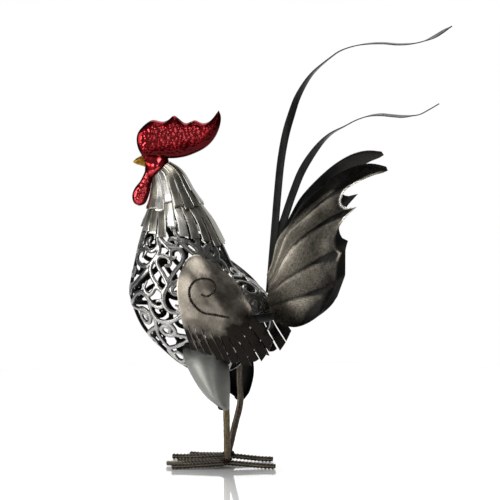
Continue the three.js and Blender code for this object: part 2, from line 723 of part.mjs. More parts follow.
function octagon(radius) {
  const flatTurn = Math.PI / 8;
  const corner = radius / Math.cos(flatTurn);
  return steps(8)
    .slice(1)
    .map((turn) => 2 * Math.PI * turn + flatTurn)
    .map((angle) => [corner * Math.cos(angle), corner * Math.sin(angle)]);
}

const TOE_TOP = 2 * TOE_RADIUS + ANKLE_LIFT;
const KNEE = { spread: 32, height: 67.6 };

// Where each side's ankle, knee and toe tips are along the figure
const LEFT_LEG = { ankle: 0, knee: 0.5, frontTip: -71, rearTip: 56, sideTip: -61 };
const RIGHT_LEG = { ankle: -6.5, knee: 5, frontTip: -74, rearTip: 45, sideTip: -57 };
const legOf = (side) => (side === LEFT ? LEFT_LEG : RIGHT_LEG);

// Each leg stands on its long toe, bends at the knee and ends against the openwork.
function leg(side) {
  const foot = at(legOf(side).ankle, 0, 0).add(new THREE.Vector3(0, side * STANCE, TOE_TOP + GAP));
  const heel = foot.clone().setZ(foot.z + LEG_RADIUS);
  const knee = at(legOf(side).knee, side * KNEE.spread, KNEE.height);
  const [v, u] = LEG_SEAT;
  const top = over(v, side === LEFT ? u : 2 - u, LEG_RADIUS / 2 + LEG_SEAT_CLEARANCE);
  const bent = curve([heel, mixed(heel, knee, 0.5), knee, mixed(knee, top, 0.5), top]).getPoints(8);
  const path = [foot, ...bent];
  return sweep(path, path.map(() => new THREE.Vector3(1, 0, 0)), octagon(LEG_RADIUS));
}

// A long rod makes the middle toe and the back toe, and lies flat on the floor at both tips.
function longToe(side) {
  const { frontTip, rearTip, ankle } = legOf(side);
  const y = side * STANCE;
  const point = (x, dx, z) => at(x, 0, 0).add(new THREE.Vector3(dx, y, z));
  const low = TOE_RADIUS;
  const high = TOE_RADIUS + ANKLE_LIFT;
  return toe([
    point(frontTip, 0, low),
    point(frontTip, TOE_FLAT, low),
    point(ankle, -LEG_RADIUS, high),
    point(ankle, LEG_RADIUS, high),
    point(rearTip, -TOE_FLAT, low),
    point(rearTip, 0, low),
  ]);
}

// A side toe butts against the long toe just before the ankle and spreads to its tip.
const OUTER_SPREAD = 21;
const INNER_SPREAD = -17;
const BEFORE_ANKLE = 2;
function sideToe(side, spread) {
  const { sideTip, ankle } = legOf(side);
  const beside = Math.sign(spread) * (2 * TOE_RADIUS + GAP);
  const tip = at(sideTip, side * spread, 0).add(new THREE.Vector3(0, side * STANCE, TOE_RADIUS));
  const root = at(ankle - BEFORE_ANKLE, 0, 0);
  root.add(new THREE.Vector3(0, side * (STANCE + beside), TOE_RADIUS + ANKLE_LIFT));
  const flat = mixed(tip, root, TOE_FLAT / tip.distanceTo(root)).setZ(TOE_RADIUS);
  return toe([tip, flat, root]);
}

// Toes run straight between their bends.
function toe(points) {
  const rings = points.map((point, i) => {
    const ahead = points[Math.min(i + 1, points.length - 1)];
    const behind = points[Math.max(i - 1, 0)];
    const along = ahead.clone().sub(behind).setZ(0).normalize();
    const across = new THREE.Vector3(-along.y, along.x, 0);
    return octagon(TOE_RADIUS).map(([a, b]) => {
      return point.clone().addScaledVector(across, a).setZ(point.z + b);
    });
  });
  return loft(rings);
}

// Thighs: spoon shaped shells over the tops of the legs, seated on the body under the wing.

const THIGH_FRONT = outline([
  [-45, THIGH_TOP - 5],
  [-47.6, 137],
  [-47.5, 124],
  [-43, 113],
  [-33, 96],
  [-21, 82],
  [-10, 74],
  [-3, 69],
]);
const THIGH_REAR = outline([
  [-3, THIGH_TOP],
  [0, 137],
  [2, 125],
  [4, 113],
  [5, 100],
  [5, 88],
  [4.5, 78],
  [3.5, 69],
]);
const THIGH_SWELL = { start: 0.15, span: 0.8 }; // part of a half wave, from the thigh's tip to its top
function thigh(side) {
  const shift = side === LEFT ? 0 : RIGHT_THIGH_SETBACK * SCALE;
  const grid = steps(8).map((t) => {
    const [a, b] = [THIGH_FRONT.getPoint(t), THIGH_REAR.getPoint(t)];
    return steps(5).map((s) => {
      const point = mixed(a, b, s);
      point.x += shift;
      const rimDepth = mix(mix(THIGH_RIM, THIGH_REAR_RIM, t), THIGH_REAR_RIM, s) * SCALE;
      const swell = Math.sin(Math.PI * (THIGH_SWELL.start + THIGH_SWELL.span * (1 - t)));
      const bulge = THIGH_BULGE * SCALE * (1 - (2 * s - 1) ** 2) * swell;
      const seated = reach(point.x, point.z) + THIGH_CLEARANCE + THIGH_SHEET / 2;
      return point.setY(side * Math.max(rimDepth + bulge, seated));
    });
  });
  return sheet({ grid, thickness: THIGH_SHEET });
}

// Tail plates: sickle shaped sheets with creases that fan out from the base to a pronged outer edge.
// Each guide runs from the base to the outer edge, and its share places it between the top and bottom edges.
const TAIL_GUIDES = [
  {
    share: 0,
    line: [[34, 206], [47, 232], [55, 262], [70, 283], [89, 309], [126, 338], [159, 351], [184.6, 347.5]],
  },
  {
    share: 0.2,
    line: [[34, 200], [48, 222], [57, 246], [67, 270], [91, 291.5], [111, 309], [125, 318], [139, 324]],
  },
  {
    share: 0.45,
    line: [[34, 194], [50, 214], [60, 235], [72, 253], [86.4, 267], [111, 283.4], [128, 292], [145, 300]],
  },
  {
    share: 0.7,
    line: [[34, 188], [48, 200], [60, 213], [73, 222], [88, 231], [104.6, 239.6], [117, 245], [129.3, 248.8]],
  },
  {
    share: 0.85,
    line: [[34, 182], [48, 186], [62, 191], [76, 196], [90, 200], [103, 204], [115, 207], [125, 211]],
  },
  {
    share: 1,
    line: [[34, 178], [48, 172], [58, 166], [68, 163], [79, 163], [92, 168], [105, 177], [113, 187]],
  },
].map(({ share, line }) => ({ share, line: outline(line) }));
const TAIL_COLUMNS = [0, 0.1, 0.2, 0.28, 0.37, 0.45, 0.53, 0.62, 0.7, 0.85, 1];
const SCALLOPS = [
  { from: 0.2, to: 0.45, depth: 0.09 },
  { from: 0.45, to: 0.7, depth: 0.11 },
];
const TAIL_HINGE = at(48, 0, 190); // the right plate is turned round it
const TAIL_FLARE_POWER = 1.5; // the plates lean out faster towards their outer edge
const CREASE_SWELL = { start: 0.05, end: 0.6 }; // part of a half wave, from the base outwards
const HOLLOW_FROM = 6.5; // station of the body's part that the plates are cut back from
const HOLLOW_GRID = [18, 20]; // its rows and columns

function tailPlate(side, lift, setback) {
  const grid = steps(6).map((t) => {
    return TAIL_COLUMNS.map((share) => {
      const next = TAIL_GUIDES.findIndex((guide) => guide.share >= share);
      const [above, below] = [TAIL_GUIDES[Math.max(next - 1, 0)], TAIL_GUIDES[Math.max(next, 1)]];
      const f = (share - above.share) / (below.share - above.share);
      const scallop = SCALLOPS.find(({ from, to }) => share > from && share < to);
      const place = scallop ? (share - scallop.from) / (scallop.to - scallop.from) : 0;
      const bite = scallop ? scallop.depth * Math.sin(Math.PI * place) : 0;
      const along = t * (1 - bite);
      const point = mixed(above.line.getPoint(along), below.line.getPoint(along), f);
      const swell = Math.sin(Math.PI * Math.min(along + CREASE_SWELL.start, CREASE_SWELL.end));
      const crease = TAIL_CREASE * Math.sin(Math.PI * f) * swell;
      const depth = TAIL_STAND_OFF + TAIL_FLARE * SCALE * along ** TAIL_FLARE_POWER + crease;
      const arm = point.sub(TAIL_HINGE);
      arm.applyAxisAngle(new THREE.Vector3(0, 1, 0), -lift * THREE.MathUtils.DEG2RAD);
      return arm.add(TAIL_HINGE).add(new THREE.Vector3(setback * SCALE, side * depth, 0));
    });
  });
  const body = bodyBlock(HOLLOW_FROM, STATIONS, () => TAIL_SEAT_CLEARANCE, ...HOLLOW_GRID);
  return sheet({ grid, thickness: TAIL_SHEET }).subtract(body);
}

// Tail tabs: bent straps that tie each wing's rear corner to the tail plate beside it.
const TAB_WING_END = [36, 176];
const TAB_PLATE_END = [57, 178];
const TAB_BEND = { share: 0.55, out: 7, drop: 1 }; // where it bends, and how far beyond its straight line
const TAB_STEPS = 6;
function tailTab(side, setback) {
  const [wingX, wingZ] = TAB_WING_END;
  const [plateX, plateZ] = TAB_PLATE_END;
  const wingEnd = at(wingX, 0, wingZ);
  wingEnd.x += wingSetback(side);
  wingEnd.y = wingDepth(wingEnd.x, wingEnd.z) - WING_SHEET - 2 * GAP - TAB_SHEET;
  const plateEnd = at(plateX + setback, 0, plateZ);
  plateEnd.y = TAIL_STAND_OFF + TAIL_SHEET / 2 + TAB_STAND_OFF;
  const bend = mixed(wingEnd, plateEnd, TAB_BEND.share).add(at(TAB_BEND.out, 0, -TAB_BEND.drop));
  const bent = curve([wingEnd, bend, plateEnd].map((point) => point.setY(side * point.y)));
  const points = bent.getPoints(TAB_STEPS);
  const normals = points.map((_, i) => {
    const along = points[Math.min(i + 1, TAB_STEPS)].clone().sub(points[Math.max(i - 1, 0)]);
    return along.cross(new THREE.Vector3(0, 0, 1));
  });
  const [w, t] = [TAB_WIDTH / 2, TAB_SHEET / 2];
  const section = [
    [-w, -t],
    [w, -t],
    [w, t],
    [-w, t],
  ];
  return sweep(points, normals, section);
}

// Ribbons: flat strips that stand face out between the tail plates and twist edge on above them.

const LONG_RIBBON = outline([
  [45, 200],
  [50, 261],
  [54.7, 317.5],
  [58, 350],
  [63, 379],
  [69.4, 402],
  [78.5, 427],
  [94, 451],
  [116, 470],
  [143.6, 482.5],
  [175.6, 485.5],
  [207.5, 485],
  [233, 493],
  [253.3, 505.5],
]);
const SHORT_RIBBON = outline([
  [46, 202],
  [53, 258],
  [62, 286],
  [72.6, 317],
  [83, 342],
  [98.6, 366],
  [114, 382],
  [132, 392],
  [152, 401.5],
  [172, 404.5],
  [196, 403],
  [217, 405.5],
  [239, 418],
]);
const RIBBON_OFFSET = (RIBBON_SHEET + GAP) / 2; // from the middle plane to each ribbon's middle
const TAIL_STAND_OFF = RIBBON_OFFSET + RIBBON_SHEET / 2 + 2 * GAP + TAIL_SHEET / 2;
const TWIST = { from: 0.4, to: 0.66, turn: Math.PI / 2 };
const RIBBON_TIP = { from: 0.85, width: 0.45 }; // where it starts to thin, and the share left at its tip

function ribbon(line, side, count) {
  const points = line.getPoints(count).map((point) => point.setY(side * RIBBON_OFFSET));
  const normals = points.map((_, i) => {
    const t = i / count;
    const share = clamp01((t - TWIST.from) / (TWIST.to - TWIST.from));
    const angle = TWIST.turn * share * share * (3 - 2 * share);
    const ahead = points[Math.min(i + 1, count)];
    const along = ahead.clone().sub(points[Math.max(i - 1, 0)]).normalize();
    return new THREE.Vector3(0, side, 0).applyAxisAngle(along, angle);
  });
  const [w, t] = [RIBBON_WIDTH / 2, RIBBON_SHEET / 2];
  const section = [
    [-w, -t],
    [w, -t],
    [w, t],
    [-w, t],
  ];
  const thinned = (t) => mix(1, RIBBON_TIP.width, clamp01((t - RIBBON_TIP.from) / (1 - RIBBON_TIP.from)));
  return sweep(points, normals, section, thinned);
}

// Materials

const metal = (color, roughness, metalness = 1) => {
  return new THREE.MeshStandardMaterial({ color, roughness, metalness });
};
const FINISH = {
  enamel: metal(0x9e0a18, 0.28, 0.6),
  brass: metal(0xb08d3c, 0.4),
  featherSteel: metal(0xa9a6a0, 0.38),
  pewter: metal(0x77777a, 0.4),
  wingSteel: metal(0x8b8377, 0.42),
  thighSteel: metal(0x6f6f6e, 0.45),
  rodSteel: metal(0x4f4841, 0.5),
  gunmetal: metal(0x4a4540, 0.45),
  blackSteel: metal(0x232323, 0.4),
};

function mesh(name, piece, material) {
  const { numProp, vertProperties, triVerts } = piece.getMesh();
  const positions = new Float32Array((vertProperties.length / numProp) * 3);
  for (let i = 0; i < positions.length / 3; i += 1) {
    positions.set(vertProperties.subarray(i * numProp, i * numProp + 3), i * 3);
  }
  const geometry = new THREE.BufferGeometry();
  geometry.setAttribute("position", new THREE.BufferAttribute(positions, 3));
  geometry.setIndex(new THREE.BufferAttribute(triVerts, 1));
  geometry.computeVertexNormals();
  const made = new THREE.Mesh(geometry, material);
  made.name = name;
  return made;
}

const rooster = new THREE.Group();
rooster.add(
  mesh("comb", combBlock(), FINISH.enamel),
  mesh("head", headBlock(), FINISH.enamel),
  mesh("beak", beakBlock(), FINISH.brass),
  mesh("wattle", wattleBlock(), FINISH.enamel),
  mesh("upper_neck_feathers", upperTier(), FINISH.featherSteel),
  mesh("lower_neck_feathers", lowerTier(), FINISH.featherSteel),
  mesh("long_tail_ribbon", ribbon(LONG_RIBBON, LEFT, 22), FINISH.blackSteel),
  mesh("short_tail_ribbon", ribbon(SHORT_RIBBON, RIGHT, 18), FINISH.blackSteel),
  mesh("left_tail_plate", tailPlate(LEFT, 0, 0), FINISH.gunmetal),
  mesh("right_tail_plate", tailPlate(RIGHT, FAR_TAIL_TURN, FAR_TAIL_SETBACK), FINISH.blackSteel),
);
[
  ["left", LEFT],
  ["right", RIGHT],
].forEach(([name, side]) => {
  rooster.add(
    mesh(name + "_body_half", half(side), FINISH.pewter),
    mesh(name + "_wing", wing(side), FINISH.wingSteel),
    mesh(name + "_thigh", thigh(side), FINISH.thighSteel),
    mesh(name + "_tail_tab", tailTab(side, side === LEFT ? 0 : FAR_TAIL_SETBACK), FINISH.gunmetal),
    mesh(name + "_leg", leg(side), FINISH.rodSteel),
    mesh(name + "_long_toe", longToe(side), FINISH.rodSteel),
    mesh(name + "_outer_toe", sideToe(side, OUTER_SPREAD), FINISH.rodSteel),
    mesh(name + "_inner_toe", sideToe(side, INNER_SPREAD), FINISH.rodSteel),
  );
});

// The origin is on the floor, under the middle of the whole figure.
const bounds = new THREE.Box3().setFromObject(rooster);
const middle = bounds.getCenter(new THREE.Vector3());
rooster.position.set(-middle.x, -middle.y, -bounds.min.z);

export default rooster;
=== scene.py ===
"""A tabletop rooster welded together from scrap metal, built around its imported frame.

The red comb, face and wattle are pressed sheet under candy enamel. Two tiers of cut steel strips make the
neck, pressed scrollwork makes the body, and brushed plates make the wings, thighs and tail.
"""

import math

import bmesh
import bpy
import numpy as np
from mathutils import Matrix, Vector, kdtree


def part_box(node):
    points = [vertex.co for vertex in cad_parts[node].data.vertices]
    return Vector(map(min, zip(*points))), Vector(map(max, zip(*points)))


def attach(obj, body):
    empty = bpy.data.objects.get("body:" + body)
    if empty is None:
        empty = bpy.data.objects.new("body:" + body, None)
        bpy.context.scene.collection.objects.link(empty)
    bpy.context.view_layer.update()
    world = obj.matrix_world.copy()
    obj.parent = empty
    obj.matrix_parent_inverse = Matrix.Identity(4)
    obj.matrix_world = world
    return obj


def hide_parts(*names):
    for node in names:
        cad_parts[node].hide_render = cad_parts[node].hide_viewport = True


bl_info = {
    "name": "Scrap metal rooster",
    "version": (1, 0, 0),
    "blender": (4, 5, 0),
    "location": "View3D > Sidebar > Rooster",
    "description": "Builds a welded scrap metal rooster around its frame",
    "category": "Object",
}

MM = 0.001
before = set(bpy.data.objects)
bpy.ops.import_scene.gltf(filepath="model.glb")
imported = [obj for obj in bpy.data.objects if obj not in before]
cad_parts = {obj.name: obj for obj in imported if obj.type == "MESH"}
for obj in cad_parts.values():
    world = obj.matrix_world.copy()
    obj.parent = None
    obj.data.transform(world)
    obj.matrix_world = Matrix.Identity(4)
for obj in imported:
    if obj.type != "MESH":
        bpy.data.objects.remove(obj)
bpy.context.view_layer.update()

# The figure's lines are drawn in millimetres from its left ankle, which the frame places.
LEFT_TOE_TIP_X = -71.0
ANKLE_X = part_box("left_long_toe")[0].x / MM - LEFT_TOE_TIP_X
MIDDLE_Y = (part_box("left_long_toe")[0].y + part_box("right_long_toe")[1].y) / 2 / MM
LEFT, RIGHT = -1, 1
SIDES = (("left", LEFT), ("right", RIGHT))


# Settings


def linear(code):
    """An sRGB hex colour as the linear colour that a shader takes."""
    parts = [int(code[i : i + 2], 16) / 255 for i in (1, 3, 5)]
    return [c / 12.92 if c <= 0.04045 else ((c + 0.055) / 1.055) ** 2.4 for c in parts]


def length(name, description, millimetres):
    return bpy.props.FloatProperty(
        name=name, description=description, default=millimetres * MM, min=0, unit="LENGTH", subtype="DISTANCE"
    )


def number(name, description, count):
    return bpy.props.IntProperty(name=name, description=description, default=count, min=2)


def colour(name, description, code):
    return bpy.props.FloatVectorProperty(
        name=name, description=description, default=linear(code), min=0, max=1, size=3, subtype="COLOR"
    )


class RoosterSizes(bpy.types.PropertyGroup):
    comb_half: length("Comb", "Half of the comb's thickness", 6.8)
    face_half: length("Face", "Half of the face's thickness", 13.6)
    wattle_half: length("Wattle", "Half of the wattle's thickness", 6.3)
    hammer_mark: length("Hammer mark", "Distance between the punch marks in the enamelled sheet", 4.2)
    hammer_depth: length("Hammer depth", "Height of the punched bumps", 0.5)
    strip_sheet: length("Neck sheet", "Thickness of the cut neck strips", 1.3)
    upper_strips: number("Upper strips", "Strips in the upper tier", 18)
    lower_strips: number("Lower strips", "Strips in the lower tier", 22)
    scroll_width: length("Scroll width", "Width of the pressed scrolls", 6.0)
    scroll_depth: length("Scroll depth", "Depth of the pressed scrolls", 3.6)
    wing_sheet: length("Wing sheet", "Thickness of the wing plates", 1.4)
    wing_strips: number("Wing strips", "Strips in a wing's fringe", 10)
    bead: length("Weld bead", "Radius of the weld bead on the wings", 1.2)
    thigh_sheet: length("Thigh sheet", "Thickness of the thigh shells", 1.4)
    leg_radius: length("Leg", "Radius of the leg rods", 3.8)
    toe_radius: length("Toe", "Radius of the ribbed toes over their ribs", 3.5)
    rib_pitch: length("Rib pitch", "Distance between the toes' ribs", 4.2)
    tail_sheet: length("Tail sheet", "Thickness of the tail plates", 1.4)
    ribbon_width: length("Ribbon width", "Width of the tail ribbons", 8.8)
    ribbon_sheet: length("Ribbon sheet", "Thickness of the tail ribbons", 1.2)


class RoosterColours(bpy.types.PropertyGroup):
    enamel: colour("Enamel", "Candy red over bright metal", "#a80d1b")
    # The maroon enamel colour is the dark end of the enamel's painted shade.
    enamel_shade: colour("Enamel edge", "Enamel pooled along the pressed edges", "#450d10")
    beak: colour("Beak", "Dull brass", "#967029")
    # Bright strip and warm strip are the lit and shaded ends of the neck strips' painted highlight and shade,
    # over their tint; the bright one is also the tail's bare silver.
    strip_bright: colour("Bright strip", "Freshly brushed neck strips", "#e4e2dc")
    strip_warm: colour("Warm strip", "Heat tinted neck strips", "#a09c8f")
    pewter: colour("Scroll crest", "Rubbed crests of the scrollwork", "#a3a29f")
    # The patina colour is also the dark end of the scrollwork's painted shade in its folds and inside, and of
    # the thighs' painted shadow.
    patina: colour("Scroll patina", "Dark patina in the scrollwork", "#1b1a19")
    wing: colour("Wing", "Brushed wing plates", "#aaa194")
    fringe: colour("Fringe", "Burnt black of the wing fringe", "#211e1b")
    bead: colour("Bead", "Heat darkened weld bead", "#2c2621")
    thigh: colour("Thigh", "Satin thigh shells", "#888884")
    leg: colour("Leg", "Warm mill scale on the leg rods", "#5b523f")
    toe: colour("Toe", "Dark scale on the ribbed toes", "#4a463d")
    tail_base: colour("Tail base", "Bare tail plate near its root", "#968f82")
    tail_edge: colour("Tail edge", "Blackened outer tail plate", "#1a1918")
    black: colour("Black steel", "Blackened ribbons and far tail plate", "#20201f")


# Lines and surfaces, in millimetres


def spline(points, shares):
    """A smooth line through points, at shares of its run of equal spans."""
    p = np.asarray(points, float)
    last = len(p) - 1
    p = np.concatenate([[2 * p[0] - p[1]], p, [2 * p[-1] - p[-2]]])
    t = np.clip(np.atleast_1d(shares), 0, 1) * last
    i = np.minimum(t.astype(int), last - 1)
    f = (t - i).reshape(-1, *[1] * (p.ndim - 1))
    a, b, c, d = (p[i + k] for k in range(4))
    return 0.5 * (2 * b + (c - a) * f + (2 * a - 5 * b + 4 * c - d) * f**2 + (3 * b - a - 3 * c + d) * f**3)


def unit(vectors):
    return vectors / np.maximum(np.linalg.norm(vectors, axis=-1, keepdims=True), 1e-9)


def smooth_step(low, high, values):
    t = np.clip((values - low) / (high - low), 0, 1)
    return t * t * (3 - 2 * t)


def smooth_max(a, b, blend):
    """The larger of two heights, rounded over where they meet."""
    return 0.5 * (a + b + np.sqrt((a - b) ** 2 + blend**2))


# The body's shape: half ellipses fan out from the breast and belly line to the neck and back line.
BREAST = [
    [-93, 330], [-93.5, 319], [-96, 304], [-100, 289], [-103, 277], [-108.5, 254], [-114.6, 227],
    [-119, 203], [-116, 184], [-104, 157.5], [-84, 136], [-56, 114], [-26, 104], [4, 111], [28, 134],
]
BACK = [
    [-73, 352], [-56, 340], [-42, 316], [-31, 297], [-20, 278], [-8.6, 254], [4, 229], [17, 219], [29, 211],
    [38, 203], [43, 196], [46, 188], [47, 180], [47, 171], [45, 160],
]
HALF_WIDTH = [10, 17, 24, 30, 36, 44, 51, 56, 58, 57, 54, 47, 37, 24, 11]
STATIONS = len(BREAST) - 1
NUDGE = 0.02  # of a station, for slopes


def skin(v, u):
    """Points of the body: v counts stations from the throat, u runs 0 to 1 over the left side from breast to
    back, and on to 2 over the right side."""
    v, u = np.broadcast_arrays(np.asarray(v, float), np.asarray(u, float))
    t = v.ravel() / STATIONS
    front, rear = spline(BREAST, t), spline(BACK, t)
    half = spline(HALF_WIDTH, t)
    turn = np.pi * u.ravel()
    line = front + (rear - front) * ((1 - np.cos(turn)) / 2)[:, None]
    return np.stack([line[:, 0], -half * np.sin(turn), line[:, 1]], 1).reshape(*v.shape, 3)


def slopes(v, u):
    """How the body runs down along a station line and round it, for each unit of v and u."""
    v, u = np.asarray(v, float), np.asarray(u, float)
    low, high = np.maximum(v - NUDGE, 0), np.minimum(v + NUDGE, STATIONS)
    down = (skin(high, u) - skin(low, u)) / (high - low)[..., None]
    around = (skin(v, u + NUDGE) - skin(v, u - NUDGE)) / (2 * NUDGE)
    return down, around


def outward(v, u):
    """Directions that point straight out of the body."""
    down, around = slopes(v, u)
    return -unit(np.cross(around, down))


def over(v, u, offset):
    """Points that stand off the body by an offset in millimetres."""
    return skin(v, u) + outward(v, u) * np.asarray(offset, float)[..., None]


def reach(x, z):
    """How far the body reaches sideways at points of the side view, or 0 beside it."""
    t = np.linspace(0, 1, 281)
    front, rear, half = spline(BREAST, t), spline(BACK, t), spline(HALF_WIDTH, t)
    chord = rear - front
    arm = np.stack([x, z], -1)[..., None, :] - front
    share = (arm * chord).sum(-1) / (chord**2).sum(-1)
    miss = np.linalg.norm(arm - share[..., None] * chord, axis=-1)
    inside = (share > 0) & (share < 1)
    depth = np.where(inside, half * 2 * np.sqrt(np.clip(share * (1 - share), 0, 1)), 0)
    best = miss.argmin(-1)[..., None]
    picked = np.take_along_axis(depth, best, -1)[..., 0]
    return np.where(np.take_along_axis(miss, best, -1)[..., 0] < 3, picked, 0)


# Meshes


class Surface:
    """Corners, faces, a brushing coordinate in millimetres and a tone for each corner, all for one mesh."""

    def __init__(self):
        self.points, self.faces, self.brush, self.tone = [], [], [], []
        self.count = 0

    def add(self, points, faces, brush=None, tone=0.0):
        points = np.asarray(points, float).reshape(-1, 3)
        total = len(points)
        self.points.append(points)
        self.faces += [[self.count + i for i in face] for face in faces]
        self.brush.append(np.zeros((total, 2)) if brush is None else np.asarray(brush, float).reshape(-1, 2))
        self.tone.append(np.broadcast_to(np.asarray(tone, float).ravel(), (total,)))
        self.count += total

    def build(self, name):
        mesh = bpy.data.meshes.new(name)
        points = np.concatenate(self.points)
        points[:, :2] += [ANKLE_X, MIDDLE_Y]
        mesh.from_pydata((points * MM).tolist(), [], self.faces)
        brush, tone = np.concatenate(self.brush), np.concatenate(self.tone)
        corner = np.zeros(len(mesh.loops), np.int32)
        mesh.loops.foreach_get("vertex_index", corner)
        layer = mesh.uv_layers.new(name="brushing")
        layer.data.foreach_set("uv", brush[corner].astype(np.float32).ravel())
        mesh.attributes.new("tone", "FLOAT", "POINT").data.foreach_set("value", tone.astype(np.float32))
        mesh.validate()
        made = bpy.data.objects.new(name, mesh)
        bpy.context.scene.collection.objects.link(made)
        return made


def grid_faces(rows, columns, present=None, wrap=False):
    faces = []
    for i in range(rows - 1):
        for j in range(columns if wrap else columns - 1):
            if present is None or present(i, j):
                k = (j + 1) % columns
                faces.append([i * columns + j, i * columns + k, (i + 1) * columns + k, (i + 1) * columns + j])
    return faces


def run_lengths(points):
    """Distances along a line from its first point."""
    return np.concatenate([[0], np.cumsum(np.linalg.norm(np.diff(points, axis=0), axis=1))])


def sweep(surface, path, normals, section, sizes=None, tone=0.0):
    """A closed bar: section's [across, out] points stand on each path point, out along its normal."""
    path, normals = np.asarray(path, float), np.asarray(normals, float)
    section = np.asarray(section, float)
    along = unit(np.gradient(path, axis=0))
    out = unit(normals - along * (normals * along).sum(1, keepdims=True))
    across = np.cross(along, out)
    sizes = np.ones(len(path)) if sizes is None else np.asarray(sizes, float)
    if section.ndim == 2:
        section = np.broadcast_to(section, (len(path), *section.shape))
    spread = section * sizes.reshape(-1, 1, 1)
    rings = path[:, None] + across[:, None] * spread[..., :1] + out[:, None] * spread[..., 1:]
    rows, columns = rings.shape[:2]
    faces = [face[::-1] for face in grid_faces(rows, columns, wrap=True)]
    faces.append(list(range(columns)))
    faces.append([(rows - 1) * columns + k for k in range(columns)][::-1])
    run = np.repeat(run_lengths(path), columns)
    around = np.tile(np.arange(columns) * (2 * np.pi * abs(section[0]).max() / columns), rows)
    tone = np.repeat(np.broadcast_to(tone, (rows,)), columns) if np.ndim(tone) < 2 else tone
    surface.add(rings, faces, np.stack([around, run], 1), tone)


def round_section(across, out, sides, lift=0.0):
    turn = np.arange(sides) * 2 * np.pi / sides
    return np.stack([across * np.cos(turn), out * np.sin(turn) + lift], 1)


def strap_section(width, thickness):
    """A flat strap whose sheared edges are a little rounded."""
    corner = 0.3 * thickness
    quarter = np.linspace(0, np.pi / 2, 3)
    parts = []
    for quadrant, (x, y) in enumerate([(1, 1), (-1, 1), (-1, -1), (1, -1)]):
        turn = quarter + quadrant * np.pi / 2
        centre = np.array([x * (width / 2 - corner), y * (thickness / 2 - corner)])
        parts.append(centre + corner * np.stack([np.cos(turn), np.sin(turn)], 1))
    return np.concatenate(parts)


def settle(made):
    """Turns an object's modifiers into its own mesh."""
    graph = bpy.context.evaluated_depsgraph_get()
    mesh = bpy.data.meshes.new_from_object(made.evaluated_get(graph))
    made.modifiers.clear()
    made.data = mesh
    return made


def rolled_edge(made, thickness, edge, segments=2):
    """Gives a sheet its thickness and breaks its sheared edges."""
    solid = made.modifiers.new("sheet", "SOLIDIFY")
    solid.thickness, solid.offset = thickness * MM, 0
    solid.use_even_offset = True
    bevel = made.modifiers.new("edge", "BEVEL")
    bevel.width, bevel.segments = edge * MM, segments
    bevel.limit_method, bevel.angle_limit = "ANGLE", math.radians(50)
    return settle(made)


def face_outwards(made):
    """Turns every closed piece of a mesh so that its faces look outwards."""
    mesh = bmesh.new()
    mesh.from_mesh(made.data)
    bmesh.ops.recalc_face_normals(mesh, faces=mesh.faces)
    mesh.to_mesh(made.data)
    mesh.free()


def piece(made, material, slot_name, *nodes, smooth_angle=40):
    """Finishes one visible piece and puts it in place of its nodes."""
    face_outwards(made)
    made.data.materials.clear()
    made.data.materials.append(material)
    made.data.shade_smooth()
    if smooth_angle < 180:
        made.data.set_sharp_from_angle(angle=math.radians(smooth_angle))
    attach(made, "root")
    if nodes:
        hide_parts(*nodes)
    return made


# Finishes


def add_node(material, kind, inputs=None, output=0, stops=(), **settings):
    """Adds a node with its settings, gives its inputs values or links, and returns one of its outputs."""
    made = material.node_tree.nodes.new("ShaderNode" + kind)
    for name, value in settings.items():
        setattr(made, name, value)
    for socket, value in (inputs or {}).items():
        if isinstance(value, bpy.types.NodeSocket):
            material.node_tree.links.new(value, made.inputs[socket])
        else:
            made.inputs[socket].default_value = value
    for i, (place, tint) in enumerate(stops):
        elements = made.color_ramp.elements
        element = elements[i] if i < len(elements) else elements.new(1)
        element.position, element.color = place, (*tint, 1)
    return made.outputs[output]


def new_finish(name, **inputs):
    """An empty material with its shader. Inputs are the shader's own sockets."""
    material = bpy.data.materials.new(name)
    material.use_nodes = True
    shader = material.node_tree.nodes["Principled BSDF"]
    for socket, value in inputs.items():
        shader.inputs[socket.replace("_", " ")].default_value = value
    return material, shader


def feed(material, shader, **outputs):
    """Links outputs to the shader's sockets."""
    for socket, output in outputs.items():
        material.node_tree.links.new(output, shader.inputs[socket.replace("_", " ")])


def shade(tint, share):
    return [min(1, share * c) for c in tint]


def per_metre(millimetres):
    """A noise scale whose features are that many millimetres wide."""
    return 1 / (millimetres * MM)


def brushed(material, wide, long, detail=4):
    """Noise drawn out along the brushing, with streaks so many millimetres wide and long."""
    brushing = add_node(material, "UVMap", uv_map="brushing")
    drawn_out = add_node(material, "Mapping", {"Vector": brushing, "Scale": (1 / wide, 1 / long, 1)})
    return add_node(material, "TexNoise", {"Vector": drawn_out, "Scale": 1, "Detail": detail})


def smoked(material, cloud, low, high, span=(0.3, 0.7)):
    """The painted tone with a cloud of smoke over it, which lowers it and raises it by the given amounts."""
    tone = add_node(material, "Attribute", attribute_name="tone", output="Fac")
    spread = {"Value": cloud, "From Min": span[0], "From Max": span[1], "To Min": low, "To Max": high}
    smoke = add_node(material, "MapRange", spread)
    return add_node(material, "Math", {0: tone, 1: smoke}, operation="ADD", use_clamp=True)


def scored(material, tint, scratches, span, dark, share=1.0):
    """A tint that is darker in its scratches."""
    stops = [(span[0], (dark, dark, dark)), (span[1], (1, 1, 1))]
    marks = add_node(material, "ValToRGB", {"Fac": scratches}, stops=stops)
    mix = {0: share, 6: tint, 7: marks}
    return add_node(material, "Mix", mix, output=2, data_type="RGBA", blend_type="MULTIPLY")


